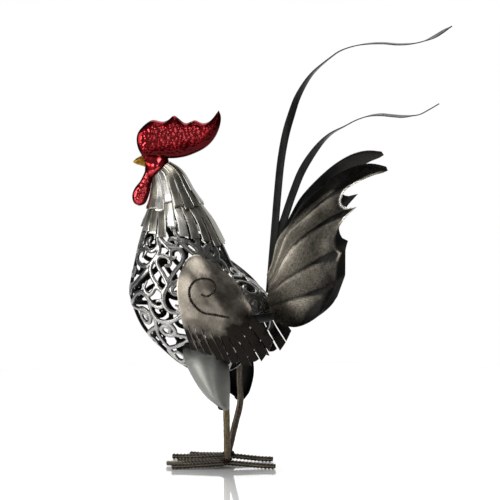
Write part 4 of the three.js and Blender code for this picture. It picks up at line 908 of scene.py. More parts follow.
SCROLLS = [
    # Upper breast
    {
        "path": [
            [4.95, 0.3], [4.78, 0.278], [4.62, 0.29], [4.7, 0.256], [4.9, 0.246], [5.08, 0.262],
            [5.17, 0.312], [5.05, 0.358], [4.82, 0.378], [5.12, 0.388], [5.48, 0.35], [5.8, 0.28],
            [5.7, 0.18], [5.48, 0.13], [5.24, 0.157], [5.15, 0.215], [5.26, 0.26], [5.46, 0.225],
        ],
        "ends": (1, 1),
    },
    {
        "path": [
            [7.75, 0.397], [7.3, 0.41], [6.75, 0.445], [6.15, 0.421], [5.85, 0.392], [5.62, 0.374],
            [5.42, 0.382], [5.34, 0.41], [5.38, 0.45], [5.55, 0.474], [5.75, 0.462], [5.72, 0.43],
        ],
        "ends": (0, 1),
    },
    {
        "path": [
            [6.7, 0.447], [6.2, 0.48], [5.9, 0.51], [5.65, 0.545], [5.42, 0.566], [5.2, 0.562],
            [5.03, 0.54], [5.02, 0.502], [5.2, 0.476], [5.42, 0.492], [5.36, 0.522],
        ],
        "ends": (0, 1),
    },
    {"path": [[5.5, 0.345], [5.9, 0.324], [6.35, 0.348], [6.6, 0.37], [6.8, 0.39]], "ends": (0, 0)},
    {
        "path": [
            [6.5, 0.31], [6.9, 0.286], [7.22, 0.295], [7.38, 0.318], [7.22, 0.344], [6.88, 0.375],
            [7.2, 0.405],
        ],
        "ends": (1, 0),
    },
    {"path": [[6.9, 0.03], [6.75, 0.16], [6.35, 0.241], [5.9, 0.307]], "width": 1.35, "ends": (0, 0)},
    # Middle breast, down to the wing's front edge
    {
        "path": [
            [6.5, 0.52], [6.95, 0.445], [7.6, 0.404], [8.2, 0.387], [8.56, 0.4], [8.66, 0.435],
            [8.45, 0.46], [8.28, 0.44],
        ],
        "ends": (0, 1),
    },
    {"path": [[6.7, 0.5], [7.15, 0.46], [7.55, 0.47], [7.6, 0.53]], "ends": (0, 0)},
    {
        "path": [
            [7.9, 0.03], [7.7, 0.144], [7.3, 0.204], [7.15, 0.253], [7.35, 0.286], [7.75, 0.305],
            [8.08, 0.32], [8.26, 0.352], [8.12, 0.385], [7.88, 0.376], [7.9, 0.345],
        ],
        "ends": (0, 1),
    },
    {
        "path": [
            [7.8, 0.305], [8.1, 0.293], [8.6, 0.294], [8.92, 0.318], [9.05, 0.376], [8.95, 0.43],
            [8.7, 0.5],
        ],
        "ends": (0, 0),
    },
    {
        "path": [[7.95, 0.03], [8.1, 0.14], [8.2, 0.19]],
        "foot": {"centre": [8.55, 0.215], "turns": 1.5, "hand": 1},
    },
    {
        "path": [[6.1, 0.03], [6.3, 0.1], [6.25, 0.16]],
        "foot": {"centre": [6.05, 0.15], "turns": 1.0, "hand": 1},
    },
    {"path": [[7.2, 0.03], [7.35, 0.1]], "foot": {"centre": [7.1, 0.12], "turns": 1.2, "hand": 1}},
    # Belly
    {"path": [[8.95, 0.32], [9.1, 0.345]], "foot": {"centre": [9.42, 0.31], "turns": 1.4, "hand": 1}},
    {
        "path": [[8.6, 0.292], [8.95, 0.275], [9.6, 0.222], [10.3, 0.188], [10.9, 0.12], [11.2, 0.03]],
        "ends": (0, 0),
    },
    {"path": [[9.1, 0.262], [9.3, 0.14], [9.6, 0.03]], "ends": (0, 0)},
    {
        "path": [[10.3, 0.42], [10.3, 0.3], [10.22, 0.2]],
        "foot": {"centre": [10.62, 0.2], "turns": 1.2, "hand": -1},
    },
    {"path": [[9.7, 0.32], [10, 0.36], [10.3, 0.42], [10.3, 0.55]], "ends": (0, 0)},
    {"path": [[9.9, 0.03], [9.95, 0.11]], "foot": {"centre": [9.7, 0.12], "turns": 1.1, "hand": 1}},
    # Shoulder and back
    {
        "path": [[4.5, 0.38], [4.75, 0.42], [5.0, 0.465]],
        "foot": {"centre": [4.75, 0.49], "turns": 1.2, "hand": -1},
    },
    {"path": [[4.7, 0.56], [5.05, 0.61], [5.4, 0.68]], "ends": (0, 0)},
    {"path": [[4.55, 0.53], [4.7, 0.62], [5.1, 0.69], [5.6, 0.73]], "ends": (0, 0)},
    {
        "path": [[3.7, 0.7], [4.4, 0.705], [5.2, 0.692], [5.7, 0.715], [6.3, 0.68], [7, 0.62]],
        "width": 1.3,
        "ends": (0, 0),
    },
    {"path": [[5.75, 0.73], [5.55, 0.76]], "foot": {"centre": [5.18, 0.79], "turns": 1.9, "hand": -1}},
    {
        "path": [
            [5.6, 0.744], [5.58, 0.813], [5.62, 0.867], [5.95, 0.88], [6.4, 0.862], [7.15, 0.825],
            [8.1, 0.785], [9, 0.73],
        ],
        "ends": (0, 0),
    },
    {"path": [[6.2, 0.87], [6.05, 0.84]], "foot": {"centre": [5.95, 0.79], "turns": 1.3, "hand": 1}},
    {"path": [[6.6, 0.855], [6.8, 0.91]], "foot": {"centre": [6.35, 0.935], "turns": 1.1, "hand": -1}},
    {"path": [[7.3, 0.985], [7.5, 0.955]], "foot": {"centre": [8.3, 0.87], "turns": 1.9, "hand": 1}},
    {"path": [[9, 0.74], [9.5, 0.755]], "foot": {"centre": [10.08, 0.825], "turns": 1.6, "hand": 1}},
    {
        "path": [[9.1, 0.98], [9.3, 0.93], [9.9, 0.92]],
        "foot": {"centre": [9.75, 0.955], "turns": 0.8, "hand": -1},
    },
    # Under the wing and over the thigh
    {"path": [[6.3, 0.68], [6.3, 0.6]], "foot": {"centre": [6.8, 0.58], "turns": 1.1, "hand": -1}},
    {
        "path": [[8, 0.78], [8, 0.66], [8.3, 0.56]],
        "foot": {"centre": [8.75, 0.57], "turns": 1.1, "hand": 1},
    },
    {
        "path": [[8.7, 0.46], [9.3, 0.45], [9.9, 0.5], [10.3, 0.55], [10.7, 0.68], [10.4, 0.8]],
        "ends": (0, 0),
    },
    {"path": [[10.3, 0.42], [10.8, 0.36]], "foot": {"centre": [11.25, 0.38], "turns": 1.3, "hand": 1}},
    {
        "path": [[10.9, 0.12], [11.5, 0.22], [12, 0.4], [12, 0.6], [11.5, 0.72], [10.7, 0.68]],
        "ends": (0, 0),
    },
    {"path": [[11.5, 0.72], [11.8, 0.85], [12, 0.98]], "ends": (0, 0)},
    {"path": [[12, 0.6], [12.3, 0.45], [12.6, 0.3], [12.8, 0.02]], "width": 1.2, "ends": (0, 0)},
    {"path": [[10.8, 0.7], [11.1, 0.8]], "foot": {"centre": [11.3, 0.9], "turns": 1.2, "hand": 1}},
    # Ties up to the band under the neck strips
    {"path": [[3.7, 0.1], [4.3, 0.13], [5.2, 0.145]], "ends": (0, 0)},
    {"path": [[5.3, 0.02], [5.25, 0.13]], "ends": (0, 0)},
    {"path": [[3.7, 0.32], [4.3, 0.34], [4.6, 0.36], [4.95, 0.38]], "ends": (0, 0)},
    {"path": [[3.7, 0.52], [4.3, 0.52], [4.6, 0.56], [4.8, 0.6]], "ends": (0, 0)},
    {"path": [[3.7, 0.88], [4.4, 0.86], [4.85, 0.82]], "ends": (0, 0)},
    {
        "path": [[3.7, 0.22], [4.2, 0.21], [4.5, 0.2]],
        "foot": {"centre": [4.75, 0.17], "turns": 1.3, "hand": -1},
    },
]


RIM_HALF_WIDTH, RIM_HALF_DEPTH = 2.1, 1.75
BAND_HALF_WIDTH, BAND_HALF_DEPTH = 3.2, 1.6
TAPER, TIP_SIZE = 16.0, 0.55  # a scroll's tapering length, and its size at the end


def curl(start, centre, turns, hand):
    """A spiral that carries a scroll's end on round a centre."""
    down, around = slopes(*centre)
    per_v, per_u = np.linalg.norm(down), np.linalg.norm(around)
    across, below = (start[1] - centre[1]) * per_u, (start[0] - centre[0]) * per_v
    radius, begin = math.hypot(across, below), math.atan2(below, across)
    t = np.linspace(0, 1, max(4, int(turns * 20)))[1:]
    angle = begin + hand * 2 * np.pi * turns * t
    r = radius * (1 - 0.72 * t)
    return np.stack([centre[0] + r * np.sin(angle) / per_v, centre[1] + r * np.cos(angle) / per_u], 1)


def scroll(surface, crests, side, bar, path, foot=None, ends=(0, 1), width=1.0):
    """One rounded, tapering scroll on the body's shape. Bar is the width and depth of a full scroll."""
    line = np.asarray(path, float)
    line = spline(line, np.linspace(0, 1, 8 * (len(line) - 1) + 1))
    if foot:
        line = np.concatenate([line, curl(line[-1], **foot)])
    flat = over(line[:, 0], line[:, 1], np.zeros(len(line)))
    run = run_lengths(flat)
    count = max(6, int(run[-1] / 1.4))
    at = np.linspace(0, run[-1], count)
    v, u = np.interp(at, run, line[:, 0]), np.interp(at, run, line[:, 1])
    u = u if side == LEFT else 2 - u
    points = over(v, u, openwork_offset(v))
    normals = outward(v, u)
    size = np.ones(count)
    for tapers, distance in zip(ends, (at, run[-1] - at)):
        if tapers:
            size = np.minimum(size, TIP_SIZE + (1 - TIP_SIZE) * np.clip(distance / TAPER, 0, 1))
    wide, deep = bar[0] * width, bar[1]
    sweep(surface, points, normals, round_section(wide / 2, deep / 2, 12, -deep / 2), size)
    crests += zip(points, normals)


def body_rim(surface, crests, side):
    """The flanged edge where one half of the openwork meets the other, and its band under the neck."""
    v = np.linspace(COLLAR, STATIONS, 90)
    front = over(v, 0 * v, openwork_offset(v))
    rear = over(v, 0 * v + 1, openwork_offset(v))
    vent = (front[-1:] + rear[-1:]) / 2
    points = np.concatenate([front, vent, rear[::-1]])
    points[:, 1] = side * RIM_HALF_WIDTH
    along = np.gradient(points, axis=0)
    out = unit(np.cross(along, [0, 1, 0]))
    middle = np.array([-40, 0, 200])
    out *= np.sign((out * (points - middle)).sum(1, keepdims=True))
    sweep(surface, points, out, round_section(RIM_HALF_WIDTH, RIM_HALF_DEPTH, 12, -RIM_HALF_DEPTH))
    crests += zip(points, out)
    share = np.linspace(0.04, 0.96, 60)
    u = share if side == LEFT else 2 - share
    v = np.full(60, COLLAR)
    band = over(v, u, openwork_offset(v))
    normals = outward(v, u)
    sweep(surface, band, normals, round_section(BAND_HALF_WIDTH, BAND_HALF_DEPTH, 12, -BAND_HALF_DEPTH))
    crests += zip(band, normals)


def rub_and_shade_tone(made, crests):
    """Paints how far each corner stands out and faces out: 1 on a crest, 0 in a fold or inside, which is
    partly patina and partly painted shade.
    """
    tree = kdtree.KDTree(len(crests))
    for i, (point, _) in enumerate(crests):
        tree.insert(Vector(point + [ANKLE_X, MIDDLE_Y, 0]) * MM, i)
    tree.balance()
    tones = np.zeros(len(made.data.vertices), np.float32)
    for vertex in made.data.vertices:
        found, i, _ = tree.find(vertex.co)
        normal = Vector(crests[i][1])
        height = (vertex.co - found).dot(normal) / MM
        facing = vertex.normal.dot(normal)
        # Folds and faces turned inwards go dark: partly patina, partly painted shade.
        tones[vertex.index] = 0.5 + 0.28 * height + 0.38 * facing
    tones = np.clip(tones, 0, 1)
    layer = made.data.attributes.new("tone", "FLOAT", "POINT")
    layer.data.foreach_set("value", tones)


class ROOSTER_OT_body(bpy.types.Operator):
    """Presses the scrollwork of both body halves"""

    bl_idname = "rooster.body"
    bl_label = "Openwork body"

    def execute(self, context):
        sizes, colours = context.scene.rooster_sizes, context.scene.rooster_colours
        pewter = rubbed_pewter(colours)
        bar = (sizes.scroll_width / MM, sizes.scroll_depth / MM)
        for name, side in SIDES:
            surface, crests = Surface(), []
            for shape in SCROLLS:
                scroll(surface, crests, side, bar, **shape)
            body_rim(surface, crests, side)
            made = surface.build(name + "_scrollwork")
            face_outwards(made)
            melt = made.modifiers.new("pressing", "REMESH")
            melt.mode, melt.voxel_size = "VOXEL", 0.85 * MM
            ease = made.modifiers.new("easing", "SMOOTH")
            ease.factor, ease.iterations = 0.5, 4
            settle(made)
            rub_and_shade_tone(made, crests)
            piece(made, pewter, "pewter_casting", name + "_body_half", smooth_angle=180)
        return {"FINISHED"}


# Wings


SHOULDER = [[-43, 239], [-37, 245], [-30, 246], [-22, 242.5]]
WING_MIDDLE = [[-51, 212], [-30, 213], [-8, 213], [14, 213.5]]
FRINGE_ROOT = [[-44, 168], [-30, 164.5], [-10, 158], [9, 153.5], [24, 160], [38, 179]]
FRINGE_END = [
    [-36, 139], [-25, 137.5], [-14, 131], [-1, 129.5], [9, 122.5], [22, 125.5], [38, 124], [49, 136],
    [57, 152],
]
PER_STRIP, SLIT = 5, 0.13  # corners across a strip of the fringe, and a slit as a share of a strip
WING_CROWN = (-5.0, 195.0, 60.0, 62.0)  # the middle of its dome, and half its length and height
WING_RIM, WING_BULGE = 50.0, 20.0
OVER_THIGH = 49.3
ABOVE_THIGH, TURN_IN = 158.0, 0.8  # from this height up the fringe turns in again, this steeply
WING_TUCK = 33.0
TUCK = (0.73, 0.69, 24.0)  # its direction, and how far from the crown it is full
TUCK_RISE = (180.0, 205.0)  # heights between which it sets in
WING_CLEAR, WING_INSET = 2.4, 1.4  # how far the plate keeps from the body, and how far it is set in again
FAR_WING_SETBACK = 5.0
BEAD_PROUD = 0.45  # the bead's middle over the plate's face
BEATING = 100  # rounds of easing that beat the plate's dome smooth
SPIRAL = [
    [-22.3, 204], [-15, 202], [-8, 207], [-7.3, 214.5], [-12, 219.6], [-20.7, 221.6], [-29.5, 219],
    [-34.7, 212.6], [-36.2, 205], [-34, 197], [-28, 189], [-19, 183], [-6, 181], [10, 178],
]


def wing_depth(x, z):
    """How far the wing stands from the middle plane: a dome that is tucked in along its upper rear edge,
    clear of the body and of the thigh."""
    cx, cz, half_length, half_height = WING_CROWN
    dx, dz = x - cx, z - cz
    dome = WING_RIM + WING_BULGE * (1 - (dx / half_length) ** 2 - (dz / half_height) ** 2)
    along, up, span = TUCK
    risen = np.clip((z - TUCK_RISE[0]) / (TUCK_RISE[1] - TUCK_RISE[0]), 0, 1)
    dome = dome - WING_TUCK * risen * np.clip((dx * along + dz * up) / span, 0, 1) ** 2
    over_thigh = OVER_THIGH - TURN_IN * np.maximum(z - ABOVE_THIGH, 0)
    seated = reach(x, z) + WING_CLEAR
    return smooth_max(smooth_max(dome, over_thigh, 4.0), seated, 7.0) - WING_INSET


def wing_shift(side):
    return 0.0 if side == LEFT else FAR_WING_SETBACK


def wing_plate(side, strips, seed):
    """A wing's plate with the strips of its fringe, and the points of the plate above the fringe."""
    draw = np.random.default_rng(seed)
    share = []
    for k in range(strips):
        low = k + (SLIT / 2 if k else 0)
        high = k + 1 - (SLIT / 2 if k < strips - 1 else 0)
        share += list(np.linspace(low, high, PER_STRIP) / strips)
    share = np.array(share)
    rows, columns = 64, len(share)
    t = np.linspace(0, 3, rows)
    free = np.clip(t - 2, 0, 1)
    lines = np.stack([spline(line, share) for line in (SHOULDER, WING_MIDDLE, FRINGE_ROOT, FRINGE_END)])
    own = np.arange(columns) // PER_STRIP
    uneven = 1 + 0.09 * np.sin(own * 2.4)
    hanging = lines[2] + (lines[3] - lines[2]) * (free[:, None] * uneven[None])[..., None]
    blend = smooth_step(0, 0.25, free)[:, None, None]
    flat = spline(lines, t / 3) * (1 - blend) + hanging * blend
    x, z = flat[..., 0] + wing_shift(side), flat[..., 1]
    y = wing_depth(x, z)
    rooted = np.searchsorted(t, 1.93)
    for _ in range(BEATING):
        y[1:rooted] = (y[: rooted - 1] + 2 * y[1:rooted] + y[2 : rooted + 1]) / 4
    kick, roll = draw.uniform(-1, 1, (2, strips))
    s = (np.arange(columns) % PER_STRIP) / (PER_STRIP - 1) - 0.5
    kicked = free[:, None] ** 2 * (1.5 * kick[own] - 0.4)[None]
    rolled = smooth_step(0, 0.5, free)[:, None] * (1.5 * roll[own] * s)[None]
    points = np.stack([x, side * (y + kicked + rolled), z], -1)
    width = np.linalg.norm(lines[1, -1] - lines[1, 0])
    brush = np.stack(np.broadcast_arrays((share * width)[None], (t * 33)[:, None]), -1)
    surface = Surface()
    uncut = grid_faces(rows, columns, lambda i, j: i < rooted or j % PER_STRIP != PER_STRIP - 1)
    surface.add(points, uncut, brush, wing_tone(t[:, None], share[None], s[None]))
    return surface, points[:rooted].reshape(-1, 3)


def wing_tone(t, share, s):
    """How dark the plate is: burnt along its fringe, with painted shade over its crown and towards its upper
    rear, and a painted highlight along one sheared edge of each fringe strip."""
    rear = smooth_step(0.1, 1.0, share)
    burn = 0.85 * smooth_step(1.4, 2.45 - 0.25 * rear, t) * (0.85 + 0.15 * rear)
    # Painted shade over the crown and towards the upper rear, where the plate turns from the lamps.
    crown_shade = 0.36 * (1 - smooth_step(0.15, 0.95, t))
    rear_shade_profile = smooth_step(0.05, 0.9, t) - 0.3 * smooth_step(1.0, 1.6, t)
    rear_shade = 0.42 * smooth_step(0.05, 0.8, share) * rear_shade_profile
    # Painted highlight along one edge of each fringe strip.
    sheared = 0.3 * (s > 0.4) * smooth_step(1.9, 2.1, t)
    return np.clip(0.02 + burn + crown_shade + rear_shade - sheared, 0, 1)


def depth_on(points, line):
    """How far a plate stands from the middle plane under each point of a line, by its four nearest corners."""
    gap = np.linalg.norm(points[None, :, ::2] - line[:, None], axis=-1) + 0.05
    near = np.argsort(gap, axis=1)[:, :4]
    weight = 1 / np.take_along_axis(gap, near, 1)
    return (np.abs(points[near, 1]) * weight).sum(1) / weight.sum(1)


def bead(surface, path, normals, radius, pitch=2.6, lumps=0.5):
    """A run of weld: a rope of frozen ripples."""
    run = run_lengths(path)
    count = max(8, int(run[-1] / 0.35))
    at = np.linspace(0, run[-1], count)
    points = np.stack([np.interp(at, run, path[:, i]) for i in range(3)], 1)
    turned = unit(np.stack([np.interp(at, run, normals[:, i]) for i in range(3)], 1))
    ripple = 1 + lumps * np.abs(np.sin(np.pi * at / pitch)) - 0.5 * lumps
    wander = 1 + 0.12 * np.sin(at * 0.9) + 0.08 * np.sin(at * 2.3 + 1)
    ends = np.sqrt(np.clip(np.minimum(at, run[-1] - at) / (1.2 * radius), 0.04, 1))
    sweep(surface, points, turned, round_section(radius, 0.85 * radius, 12), ripple * wander * ends)


class ROOSTER_OT_wings(bpy.types.Operator):
    """Bends both wings, cuts their fringes and lays the weld spirals on them"""

    bl_idname = "rooster.wings"
    bl_label = "Wings"

    def execute(self, context):
        sizes, colours = context.scene.rooster_sizes, context.scene.rooster_colours
        steel, scale = burnt_wing_steel(colours), weld_metal(colours)
        for name, side in SIDES:
            surface, plate = wing_plate(side, sizes.wing_strips, 31)
            made = rolled_edge(surface.build(name + "_wing_plate"), sizes.wing_sheet / MM, 0.3)
            piece(made, steel, "wing_steel", name + "_wing", smooth_angle=35)
            line = spline(SPIRAL, np.linspace(0, 1, 160)) + [wing_shift(side), 0]
            depth = depth_on(plate, line) + sizes.wing_sheet / MM / 2 + BEAD_PROUD
            path = np.stack([line[:, 0], side * depth, line[:, 1]], 1)
            normals = np.tile([0.0, side, 0.0], (len(path), 1))
            spiral = Surface()
            bead(spiral, path, normals, sizes.bead / MM)
            piece(spiral.build(name + "_wing_bead"), scale, "wing_steel", smooth_angle=180)
        return {"FINISHED"}


# Thighs, legs and feet


THIGH_FRONT = [
    [-45, 145], [-48, 137], [-47, 123], [-43, 114], [-36.5, 102.5], [-29.5, 92], [-20.5, 82], [-10, 74],
    [-3, 69],
]
THIGH_REAR = [[-3, 150], [0, 137], [2.4, 125], [4.2, 113], [5, 102], [5, 91], [4.4, 80], [3.6, 73], [3.2, 69]]
THIGH_CLEAR, THIGH_INSET = 1.2, 0.8  # how far the shell keeps from the body, and how far it is set in again
FAR_THIGH_SETBACK = 9.0
STANCE = 24.0
ANKLE_LIFT = 2.5
KNEE_SPREAD, KNEE_HEIGHT = 32.0, 67.6
LEGS = {LEFT: {"ankle": 0.0, "knee": 0.5}, RIGHT: {"ankle": -6.5, "knee": 5.0}}
LEG_TOPS = {LEFT: (12.38, 0.3), RIGHT: (12.6, 1.7)}  # the station and the turn where each leg meets the body
FEET = {
    LEFT: {"front": LEFT_TOE_TIP_X, "rear": 56.0, "side": -61.0},
    RIGHT: {"front": -74.0, "rear": 45.0, "side": -57.0},
}
TOE_SPREADS = {"outer": 21.0, "inner": -17.0}
FLAT_TIP = 13.0  # length at a toe's tip that lies flat on the ground
SMOOTH_END = (30.0, 4.0)  # lengths from the near front toe's tip between which its ribs are worn away


def thigh_shell(side):
    """A hollow shell that narrows to the knee, with painted shadow under the wing. The far one is fuller
    behind.
    """
    shift = 0 if side == LEFT else FAR_THIGH_SETBACK
    rows, columns = 60, 34
    t, s = np.linspace(0, 1, rows), np.linspace(0, 1, columns)
    front, rear = spline(THIGH_FRONT, t), spline(THIGH_REAR, t)
    if side == RIGHT:
        rear[:, 0] += 6.5 * np.sin(np.pi * np.clip(1.25 * t, 0, 1)) - 5.5 * smooth_step(0.75, 1.0, t)
        front[:, 0] -= 2.5 * smooth_step(0.9, 1.0, t)
    flat = front[:, None] + (rear - front)[:, None] * s[None, :, None]
    x, z = flat[..., 0] + shift, flat[..., 1]
    t, s = t[:, None], s[None]
    rim = (31 + 5.4 * t) * (1 - s) + 36.4 * s
    bulge = 13 * (1 - (2 * s - 1) ** 2) * np.sin(np.pi * (0.15 + 0.8 * (1 - t)))
    y = smooth_max(rim + bulge, reach(x, z) + THIGH_CLEAR, 4.0) - THIGH_INSET
    brush = np.stack(np.broadcast_arrays(s * 50, t * 85), -1)
    # Painted shadow under the wing, and painted shade towards the upper rear.
    wing_shadow = 0.55 * smooth_step(108, 134, z) + 0.45 * smooth_step(130, 146, z)
    behind = 0.5 * smooth_step(-14, 2, flat[..., 0]) * smooth_step(96, 128, z)
    surface = Surface()
    points = np.stack([x, side * y, z], -1)
    surface.add(points, grid_faces(rows, columns), brush, np.clip(wing_shadow + behind, 0, 1))
    return surface


def shade_inside(made, side):
    """Blackens the hollow side of a shell with painted shade."""
    tones = made.data.attributes["tone"].data
    for vertex in made.data.vertices:
        if vertex.normal.y * side < -0.2:
            tones[vertex.index].value = 1.0


def leg_rod(side, radius, toe):
    """A bent rod with slight dents, from the foot by way of the knee to the body."""
    foot = np.array([LEGS[side]["ankle"], side * STANCE, 2 * toe + ANKLE_LIFT - 0.6])
    heel = foot + [0, 0, radius + 1]
    knee = np.array([LEGS[side]["knee"], side * KNEE_SPREAD, KNEE_HEIGHT])
    v, u = LEG_TOPS[side]
    top = over(np.array(v), np.array(u), radius / 2 + 0.6)
    bent = spline([heel, (heel + knee) / 2, knee, (knee + top) / 2, top], np.linspace(0, 1, 90))
    path = np.concatenate([[foot], bent])
    run = run_lengths(path)[:, None]
    turn = np.arange(20) * 2 * np.pi / 20
    dents = 1 + 0.02 * np.sin(run * 0.35 + 2 * turn) + 0.015 * np.sin(run * 0.9 - turn)
    section = radius * dents[..., None] * np.stack([np.cos(turn), np.sin(turn)], -1)[None]
    surface = Surface()
    tone = 0.06 if side == LEFT else 0.03
    sweep(surface, path, np.tile([1.0, 0, 0], (len(path), 1)), section, tone=tone)
    return surface


def toe_lines(side, toe):
    """The courses of a foot's three bars. Each lies flat at its tips and rises to the ankle."""
    feet, ankle = FEET[side], LEGS[side]["ankle"]
    y, low, high = side * STANCE, toe, toe + ANKLE_LIFT
    long = [[feet["front"], y, low], [feet["front"] + FLAT_TIP, y, low], [ankle - 4, y, high]]
    long += [[ankle + 4, y, high], [feet["rear"] - FLAT_TIP, y, low], [feet["rear"], y, low]]
    lines = {"long": long}
    for label, spread in TOE_SPREADS.items():
        beside = math.copysign(2 * toe - 0.2, spread)
        tip = np.array([feet["side"], side * (STANCE + spread), low])
        root = np.array([ankle - 2, side * (STANCE + beside), high])
        flat = tip + (root - tip) * FLAT_TIP / np.linalg.norm(root - tip)
        flat[2] = low
        lines[label] = [tip, flat, root]
    return lines


def ribbed_toe(points, radius, pitch, smooth_end=None):
    """A length of ribbed bar: two long ribs and slanting cross ribs over a round core. The ribs fade out
    where the bar is worn smooth."""
    points = np.asarray(points, float)
    run = run_lengths(points)
    total = run[-1]
    middle = np.linspace(1.0, total - 1.0, int(total / 0.55))
    at = np.concatenate([[0, 0.5], middle, [total - 0.5, total]])
    path = np.stack([np.interp(at, run, points[:, i]) for i in range(3)], 1)
    for _ in range(3):
        path[3:-3] = (path[2:-4] + path[3:-3] + path[4:-2]) / 3
    sides = 24
    turn = np.arange(sides) * 2 * np.pi / sides
    wave = np.cos(2 * np.pi * at[:, None] / pitch + 2.0 * turn[None])
    cross_ribs = smooth_step(0.15, 0.9, wave) * (1 - np.abs(np.cos(turn))[None] ** 6)
    ribs = np.maximum(cross_ribs, np.abs(np.cos(turn))[None] ** 24)
    worn = 0 * at[:, None] if smooth_end is None else smooth_step(*smooth_end, at)[:, None]
    core = 0.76 * radius
    r = core + (radius - core) * (1 - worn) * ribs
    r = r * np.minimum(1, np.minimum(at, total - at) / 0.9 * 0.22 + 0.78)[:, None]
    section = np.stack([r * np.cos(turn), r * np.sin(turn)], -1)
    surface = Surface()
    tone = 0.34 * (ribs - 0.5) * (1 - worn) + 0.2 * worn
    sweep(surface, path, np.tile([0.0, 0.0, 1.0], (len(path), 1)), section, tone=tone)
    return surface


def foot_welds(side, radius, toe):
    """Beads of weld at the thigh's tip, along both sides of the ankle and round the leg's foot."""
    ankle, y, high = LEGS[side]["ankle"], side * STANCE, toe + ANKLE_LIFT
    surface = Surface()
    tip_x = 0.5 if side == LEFT else FAR_THIGH_SETBACK - 4.5
    line = np.linspace([tip_x - 8, side * 42.0, 73.5], [tip_x - 2.6, side * 42.4, 69.6], 12)
    bead(surface, line, np.tile([0.0, side, 0], (12, 1)), 1.9)
    for beside in (-side, side):
        start, end = [ankle - 9, y + beside * 3.4, high + 2.6], [ankle + 4, y + beside * 3.2, high + 3.0]
        bead(surface, np.linspace(start, end, 12), np.tile([0.0, 0, 1], (12, 1)), 1.7)
    turn, reach_out = np.linspace(0, 2 * np.pi, 30), radius + 0.4
    height = np.full(30, 2 * toe + ANKLE_LIFT + 0.4)
    ring = np.stack([ankle + reach_out * np.cos(turn), y + reach_out * np.sin(turn), height], 1)
    bead(surface, ring, np.tile([0.0, 0, 1], (30, 1)), 1.5)
    return surface


class ROOSTER_OT_legs(bpy.types.Operator):
    """Beats the thighs, bends the legs and welds the toes to them"""

    bl_idname = "rooster.legs"
    bl_label = "Thighs, legs and toes"

    def execute(self, context):
        sizes, colours = context.scene.rooster_sizes, context.scene.rooster_colours
        satin = satin_thigh_steel(colours)
        rust = linear("#4a3320")
        rod = scaled_bar("round bar with mill scale", colours.leg, rust)
        bar = scaled_bar("ribbed bar with mill scale", colours.toe, shade(rust, 0.6))
        scale = weld_metal(colours)
        radius, toe = sizes.leg_radius / MM, sizes.toe_radius / MM
        for name, side in SIDES:
            made = rolled_edge(thigh_shell(side).build(name + "_thigh_shell"), sizes.thigh_sheet / MM, 0.35)
            shade_inside(made, side)
            piece(made, satin, "thigh_steel", name + "_thigh", smooth_angle=40)

            made = leg_rod(side, radius, toe).build(name + "_leg_rod")
            piece(made, rod if side == LEFT else bar, "rod_steel", name + "_leg", smooth_angle=60)

            for label, line in toe_lines(side, toe).items():
                smooth_end = SMOOTH_END if (label, side) == ("long", LEFT) else None
                surface = ribbed_toe(line, toe, sizes.rib_pitch / MM, smooth_end)
                made = surface.build(f"{name}_{label}_toe_bar")
                piece(made, bar, "rod_steel", f"{name}_{label}_toe", smooth_angle=60)

            made = foot_welds(side, radius, toe).build(name + "_foot_welds")
            piece(made, scale, "rod_steel", smooth_angle=180)
        return {"FINISHED"}


# Tail


# The plate's edges and creases, from root to rim, each with its share of the way down the plate.
TAIL_GUIDES = [
    (0.0, [[34, 206], [47, 232], [55, 262], [70, 283], [89, 309], [126, 338], [159, 351], [184.6, 347.5]]),
    (0.2, [[34, 200], [48, 222], [57, 246], [67, 270], [91, 291.5], [111, 309], [125, 318], [139, 324]]),
    (0.45, [[34, 194], [50, 214], [60, 235], [72, 253], [86.4, 267], [111, 283.4], [128, 292], [145, 300]]),
    (0.7, [[34, 188], [48, 200], [60, 213], [73, 222], [88, 231], [104.6, 239.6], [117, 245], [129.3, 248.8]]),
    (0.85, [[34, 182], [48, 186], [62, 191], [76, 196], [90, 200], [103, 204], [115, 207], [125, 211]]),
    (1.0, [[34, 178], [48, 172], [58, 166], [68, 163], [79, 163], [92, 168], [105, 177], [113, 187]]),
]
SCALLOPS = [(0.2, 0.45, 0.1), (0.45, 0.7, 0.12)]  # bites out of the rim: from, to and depth
PRONGS = [(0.03, 0.04, 7.15), (0.45, 0.02, 5.5), (0.7, 0.02, 3.3)]  # points on the rim: place, spread, length
TAIL_PIVOT = np.array([48.0, 190.0])
FAR_TAIL_TURN = 6.4
FAR_TAIL_SETBACK = 6.0
TAIL_FLARE = 27.0
BLUNT, BLUNT_BITE = 0.05, 0.035  # share of the plate over which its long tip is rounded, and how far
TAIL_STAND_OFF = 2.85
TAIL_ROOT = 0.09
TAB_START, TAB_END = (36.0, 176.0), (52.0, 9.6, 178.0)  # inside the wing, and at the plate's root
TAB_TUCK = 3.6  # how far inside the wing it starts
TAB_WIDTH, TAB_SHEET = 9.6, 1.8
